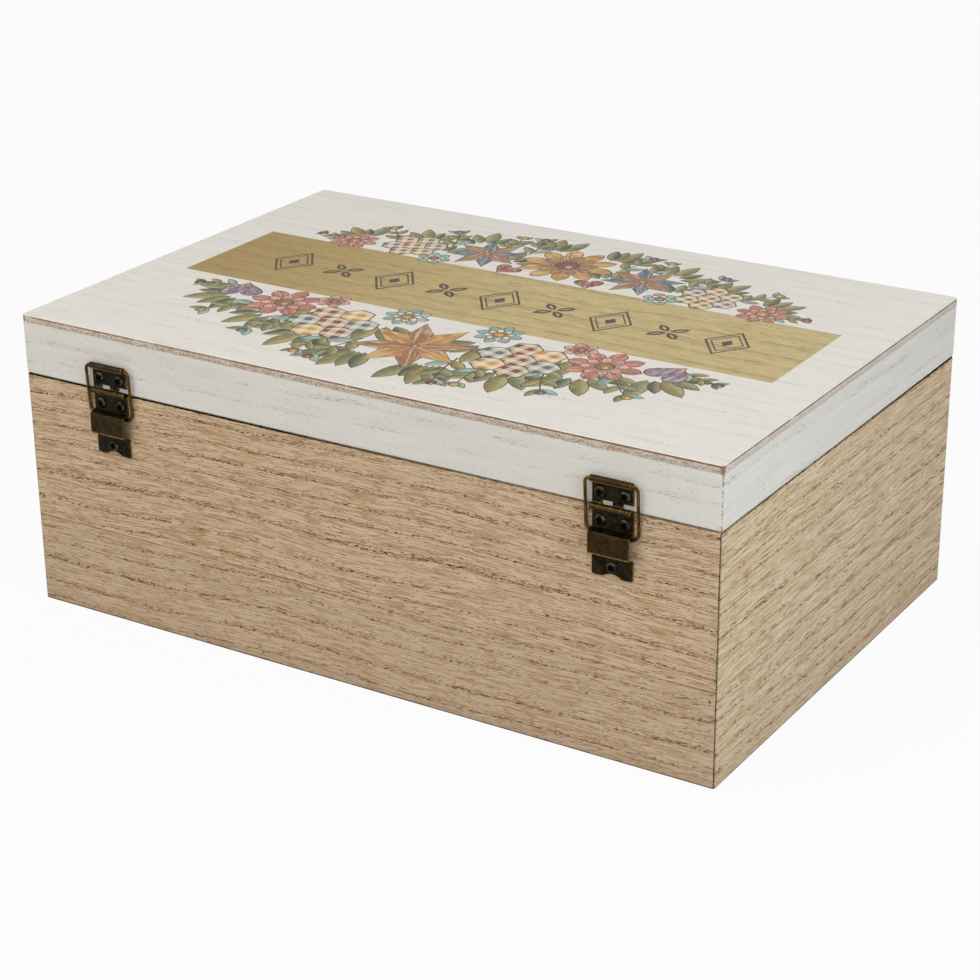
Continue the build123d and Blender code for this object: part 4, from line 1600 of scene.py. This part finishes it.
# ------------------------------------------------------------------ screws
@dataclass
class Screw:
    """A round-head cross-recess screw along Z, with the underside of its head on the XY plane."""

    head_radius: float
    head_height: float
    shank_radius: float
    length: float
    recess_width: float
    recess_reach: float
    recess_depth: float
    sides: int = 40
    dome_steps: int = 7
    point_length: float = 1.5
    edge: float = 0.07
    sunk_depth: float = 0.12

    def crown_radius(self) -> float:
        """The radius of the head's dome."""
        return (self.head_radius**2 + self.head_height**2) / (2 * self.head_height)

    def profile(self) -> list[Point]:
        """The screw's outline from the crown to the tip, as radius and height."""
        radius = self.crown_radius()
        half = math.asin(self.head_radius / radius)
        turns = [half * step / self.dome_steps for step in range(self.dome_steps + 1)]
        dome = [(radius * math.sin(turn), self.head_height - radius * (1 - math.cos(turn))) for turn in turns]
        point = (self.shank_radius, self.point_length - self.length)
        return [*dome, (self.shank_radius, 0.0), point, (0.0, -self.length)]

    def turned(self) -> Mesh:
        """The screw before its recess is cut."""
        (_, top), *rounds, (_, low) = self.profile()
        points = [
            (*towards((0.0, 0.0), 2 * math.pi * side / self.sides, radius), z)
            for radius, z in rounds
            for side in range(self.sides)
        ]
        crown, tip = len(points), len(points) + 1
        last = crown - self.sides
        faces = []
        for first in range(0, last, self.sides):
            for side in range(self.sides):
                a, b = first + side, first + (side + 1) % self.sides
                faces.append([a, a + self.sides, b + self.sides, b])
        for side in range(self.sides):
            after = (side + 1) % self.sides
            faces.append([crown, side, after])
            faces.append([tip, last + after, last + side])
        return solid("screw", [*points, (0, 0, top), (0, 0, low)], faces)

    def cutter(self) -> Mesh:
        """The tapered cross that cuts the recess."""
        points = []
        for z, share in ((self.head_height + 0.4, 1.1), (self.head_height - self.recess_depth, 0.62)):
            half, reach = self.recess_width / 2 * share, self.recess_reach / 2 * share
            for quarter in range(4):
                arm = swung([(reach, -half), (reach, half), (half, half)], (0.0, 0.0), math.pi / 2 * quarter)
                points.extend((x, y, z) for x, y in arm)
        count = len(points) // 2
        faces = [list(range(count)), list(range(2 * count - 1, count - 1, -1))]
        for index in range(count):
            after = (index + 1) % count
            faces.append([index, index + count, after + count, after])
        return solid("recess", points, faces)

    def make(self) -> Object:
        """The finished screw, with its recess marked for the finish to paint shade into."""
        screw, cross = put("screw", self.turned()), put("recess", self.cutter())
        for piece in (screw, cross):
            with reshaped(piece.data) as shape:
                bmesh.ops.recalc_face_normals(shape, faces=shape.faces)
        cut = screw.modifiers.new("Recess", "BOOLEAN")
        cut.operation = "DIFFERENCE"
        cut.solver = "EXACT"
        cut.object = cross
        settle(screw)
        bpy.data.objects.remove(cross)
        soften(screw, self.edge)
        self.mark(screw.data)
        return screw

    def mark(self, mesh: Mesh) -> None:
        """Writes where the recess is, and how far out each point is, for the finish's painted shade and
        lighter ring.
        """
        sunk = mesh.attributes.new("screw_recess", "FLOAT", "CORNER")
        out = mesh.attributes.new("screw_radius", "FLOAT", "POINT")
        for index, vertex in enumerate(mesh.vertices):
            out.data[index].value = math.hypot(vertex.co.x, vertex.co.y) / MM / self.head_radius
        radius = self.crown_radius()
        for face in mesh.polygons:
            x, y, z = face.center / MM
            dome = math.sqrt(max(radius**2 - x * x - y * y, 0.0)) + self.head_height - radius
            deep = 0 < z < dome - self.sunk_depth and math.hypot(x, y) < self.recess_reach / 2
            for loop in face.loop_indices:
                sunk.data[loop].value = float(deep)


# ------------------------------------------------------------------ hinges
class Metals(NamedTuple):
    """The fittings' finishes: the dark film, the rubbed brass, the bails' wire and the screws."""

    film: Material
    brass: Material
    wire: Material
    screw: Material


def fitting(node: str, name: str, body: str, edge: float, metals: Metals) -> None:
    """Builds and hands over a fitting in the dark film, with its cut edges rubbed to brass."""
    piece = dressed(node, name, edge, metals.film, metals.brass, eased=1)
    hand_over(piece, body, Slot.BRASS, node)


@dataclass
class Hinges:
    """Two support hinges: a leaf on the lid, a leaf on the case, a pin, a wire bail and five screws each."""

    edge: float = 0.17
    wire_radius: float = 0.6
    lower_corner: float = 3.0
    upper_corner: float = 2.0
    screw: Screw = field(default_factory=lambda: Screw(2.35, 1.3, 1.2, 7.6, 0.75, 2.7, 0.8))

    def bail(self, maker: Maker, hinge: str, finish: Material) -> Object:
        """The wire loop, from the frame's box round it: its top bar lies further out than its bottom bar."""
        low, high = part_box(f"{hinge}_bail")
        wire = self.wire_radius * MM
        top, base = Vector((high.y - wire, high.z - wire)), Vector((low.y + wire, low.z + wire))
        rise = top - base
        return maker.make(
            f"{hinge}_wire_bail",
            solid("bail", []),
            Width=high.x - low.x - 2 * wire,
            Drop=rise.length,
            Lower_Corner=self.lower_corner * MM,
            Upper_Corner=self.upper_corner * MM,
            Wire_Radius=wire,
            Middle=Vector(((low.x + high.x) / 2, (top.x + base.x) / 2, (top.y + base.y) / 2)),
            Tilt=Euler((math.pi / 2 - math.atan2(rise.x, rise.y), 0, 0)),
            Finish=finish,
        )

    def seats(self, node: str) -> list[Vector]:
        """The places under a leaf's screw heads: a pair, and on the case's leaf one more below it."""
        low, high = (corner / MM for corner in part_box(node))
        radius, face = self.screw.head_radius, high.y - self.screw.head_height
        places = [Vector((x, face, high.z - radius)) for x in (low.x + radius, high.x - radius)]
        if high.z - low.z > 3 * radius:
            places.append(Vector(((low.x + high.x) / 2, face, low.z + radius)))
        return places

    def build(self, metals: Metals) -> None:
        """Builds and hands over both hinges."""
        bails, screws = bail_maker(), screw_maker()
        master = self.screw.make()
        for seed, side in enumerate(("left", "right")):
            hinge = f"{side}_hinge"
            for part, name, body in (
                ("upper_leaf", "lid_leaf", "lid"),
                ("lower_leaf", "case_leaf", "case"),
                ("pin", "axle", "case"),
            ):
                fitting(f"{hinge}_{part}", f"{hinge}_{name}", body, self.edge, metals)
            hand_over(self.bail(bails, hinge, metals.wire), f"{side}_bail", Slot.BRASS, f"{hinge}_bail")
            for part, body in (("upper", "lid"), ("lower", "case")):
                node = f"{hinge}_{part}_screws"
                name, turns = f"{hinge}_{body}_screws", seed * 7 + len(part)
                piece = seat_screws(screws, master, name, self.seats(node), -1, turns, metals.screw)
                hand_over(piece, body, Slot.SCREW, node)
        bpy.data.objects.remove(master)


# ------------------------------------------------------------------ latch
@dataclass
class Latch:
    """The swing hook on its plate, and the stud that it catches."""

    edge: float = 0.14
    screw: Screw = field(default_factory=lambda: Screw(1.8, 0.8, 0.9, 7.0, 0.5, 2.2, 0.5))

    def seats(self, node: str) -> list[Vector]:
        """The places under a plate's two screw heads."""
        low, high = (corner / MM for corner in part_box(node))
        radius = self.screw.head_radius
        face, level = low.y + self.screw.head_height, (low.z + high.z) / 2
        return [Vector((x, face, level)) for x in (low.x + radius, high.x - radius)]

    def build(self, metals: Metals) -> None:
        """Builds and hands over the latch."""
        for node, name, body in (
            ("latch_plate", "latch_base_plate", "case"),
            ("latch_rivet", "latch_hook_rivet", "case"),
            ("latch_hook", "latch_swing_hook", "hook"),
            ("stud_plate", "latch_stud_plate", "lid"),
            ("latch_stud", "latch_round_stud", "lid"),
        ):
            fitting(node, name, body, self.edge, metals)
        screws = screw_maker()
        master = self.screw.make()
        for seed, (part, body) in enumerate((("latch", "case"), ("stud", "lid"))):
            node = f"{part}_plate_screws"
            name, turns = f"{part}_small_screws", seed + 3
            piece = seat_screws(screws, master, name, self.seats(node), 1, turns, metals.screw)
            hand_over(piece, body, Slot.SCREW, node)
        bpy.data.objects.remove(master)


# ------------------------------------------------------------------ studio
class Lamp(NamedTuple):
    """One soft lamp: where it stands, its size and strength, and its tint."""

    name: str
    place: tuple[float, float, float]
    size: float
    power: float
    tint: Colour = (1.0, 1.0, 1.0)


@dataclass
class Studio:
    """A white floor and surround, soft lamps, and the camera. Lengths are in metres and angles in degrees."""

    target: tuple[float, float, float] = (-0.0196834, 0.0340099, 0.0595354)
    distance: float = 0.92919
    azimuth: float = 212.07626
    elevation: float = 22.90063
    roll: float = -0.53026
    lens: float = 90.03637
    sensor: float = 36.0
    sky: float = 0.33
    floor_half: float = 9.0
    floor_z: float = -0.0003
    floor_grey: float = 0.55
    floor_glow: float = 0.94
    lit_place: tuple[float, float, float] = (0.0, 0.0, 0.06)
    lamps: tuple[Lamp, ...] = (
        Lamp("lamp_over", (0.17, 0.28, 1.5), 1.4, 5.25),
        Lamp("lamp_back", (0.4, 0.7, 0.67), 1.0, 4.5, (1.0, 1.0, 0.96)),
        Lamp("lamp_side", (-0.78, 0.345, 0.42), 0.5, 3.6, (0.935, 1.02, 1.09)),
        Lamp("lamp_front", (0.0, -1.7, 0.9), 1.2, 5.4),
    )

    @staticmethod
    def show(tree: Tree, output: str, lit: bpy.types.Node, seen: bpy.types.Node, share: float) -> None:
        """Gives a tree one look for the light, and another where a straight look meets it.

        Args:
            tree: The tree.
            output: The kind of its output node.
            lit: What light meets.
            seen: What the camera, a reflection or clear glass sees.
            share: How much of what they see is that second look.
        """
        path = tree.add("ShaderNodeLightPath")
        straight = path.outputs["Is Camera Ray"]
        for ray in ("Is Glossy Ray", "Is Transmission Ray"):
            feeds = {0: straight, 1: path.outputs[ray]}
            straight = tree.add("ShaderNodeMath", feeds, operation="MAXIMUM").outputs[0]
        part = tree.add("ShaderNodeMath", {0: straight, 1: share}, operation="MULTIPLY")
        both = tree.add("ShaderNodeMixShader", {0: part.outputs[0], 1: lit.outputs[0], 2: seen.outputs[0]})
        tree.add(output, {"Surface": both.outputs[0]})

    def floor(self) -> None:
        """The floor, which looks white and keeps a soft shadow."""
        corners = ((-1, -1), (1, -1), (1, 1), (-1, 1))
        mesh = bpy.data.meshes.new("floor")
        points = [(x * self.floor_half, y * self.floor_half, self.floor_z) for x, y in corners]
        mesh.from_pydata(points, [], [(0, 1, 2, 3)])
        material = bpy.data.materials.new("floor_white")
        material.use_nodes = True
        tree = Tree(material.node_tree)
        matte = tree.add("ShaderNodeBsdfDiffuse", {"Color": (self.floor_grey,) * 3})
        glow = tree.add("ShaderNodeEmission", {"Strength": 1.0})
        self.show(tree, "ShaderNodeOutputMaterial", matte, glow, self.floor_glow)
        mesh.materials.append(material)
        put("studio_floor", mesh)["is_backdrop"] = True

    def world(self) -> None:
        """A white surround that lights the box at a plain level."""
        world = bpy.data.worlds.new("studio_world")
        bpy.context.scene.world = world
        world.use_nodes = True
        tree = Tree(world.node_tree)
        lit, seen = (
            tree.add("ShaderNodeBackground", {"Color": (1.0, 1.0, 1.0), "Strength": strength})
            for strength in (self.sky, 1.0)
        )
        self.show(tree, "ShaderNodeOutputWorld", lit, seen, 1.0)

    def light(self) -> None:
        """The lamps, each turned to the box."""
        for lamp in self.lamps:
            data = bpy.data.lights.new(lamp.name, "AREA")
            data.shape, data.size, data.energy, data.color = "DISK", lamp.size, lamp.power, lamp.tint
            light = bpy.data.objects.new(lamp.name, data)
            bpy.context.scene.collection.objects.link(light)
            light.location = lamp.place
            aim = Vector(self.lit_place) - Vector(lamp.place)
            light.rotation_euler = aim.to_track_quat("-Z", "Y").to_euler()

    def camera(self) -> None:
        """The camera, looking down on the back and one end of the box."""
        azimuth, elevation, roll = map(math.radians, (self.azimuth, self.elevation, self.roll))
        level = math.cos(elevation)
        back = Vector((math.sin(azimuth) * level, -math.cos(azimuth) * level, math.sin(elevation)))
        right = Vector((math.cos(azimuth), math.sin(azimuth), 0))
        up = back.cross(right)
        across = math.cos(roll) * right + math.sin(roll) * up
        rise = math.cos(roll) * up - math.sin(roll) * right
        data = bpy.data.cameras.new("camera")
        data.lens, data.sensor_width, data.sensor_fit = self.lens, self.sensor, "HORIZONTAL"
        data.clip_start, data.clip_end = 0.01, 100
        camera = bpy.data.objects.new("camera", data)
        bpy.context.scene.collection.objects.link(camera)
        turn = Matrix((across, rise, back)).transposed().to_4x4()
        camera.matrix_world = Matrix.Translation(Vector(self.target) + back * self.distance) @ turn
        bpy.context.scene.camera = camera

    def build(self) -> None:
        """Sets the studio up."""
        bpy.context.scene.view_settings.view_transform = "Standard"
        self.camera()
        self.floor()
        self.world()
        self.light()


# ------------------------------------------------------------------ the whole box
def main() -> None:
    """Builds the studio and every part of the box."""
    logging.basicConfig(level=logging.INFO, format="%(name)s: %(message)s")
    Studio().build()
    plain = {run: PlainFinish(run).make() for run in Run}
    low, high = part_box("left_hinge_pin")
    film = BronzeFinish("aged_brass_film", lines=hinge_wear_and_sheen((low.z + high.z) / 2 / MM)).make()
    brass = BronzeFinish("aged_brass_rubbed", linear(128, 93, 42), linear(74, 53, 25), rub=0.4).make()
    wire = BronzeFinish("bail_wire", linear(100, 72, 29), linear(56, 40, 17), rub=0.3).make()
    metals = Metals(film, brass, wire, ScrewFinish().make())
    paint = PaintFinish()
    Case().build(VeneerFinish().make(), plain)
    Lid().build(paint.make(False), paint.make(True), plain)
    Tray().build(plain)
    Hinges().build(metals)
    Latch().build(metals)
    boxes = {"cad": CAD_BOX, "visual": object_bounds()}
    {name: [list(low), list(high)] for name, (low, high) in boxes.items()}


if __name__ == "__main__":
    main()
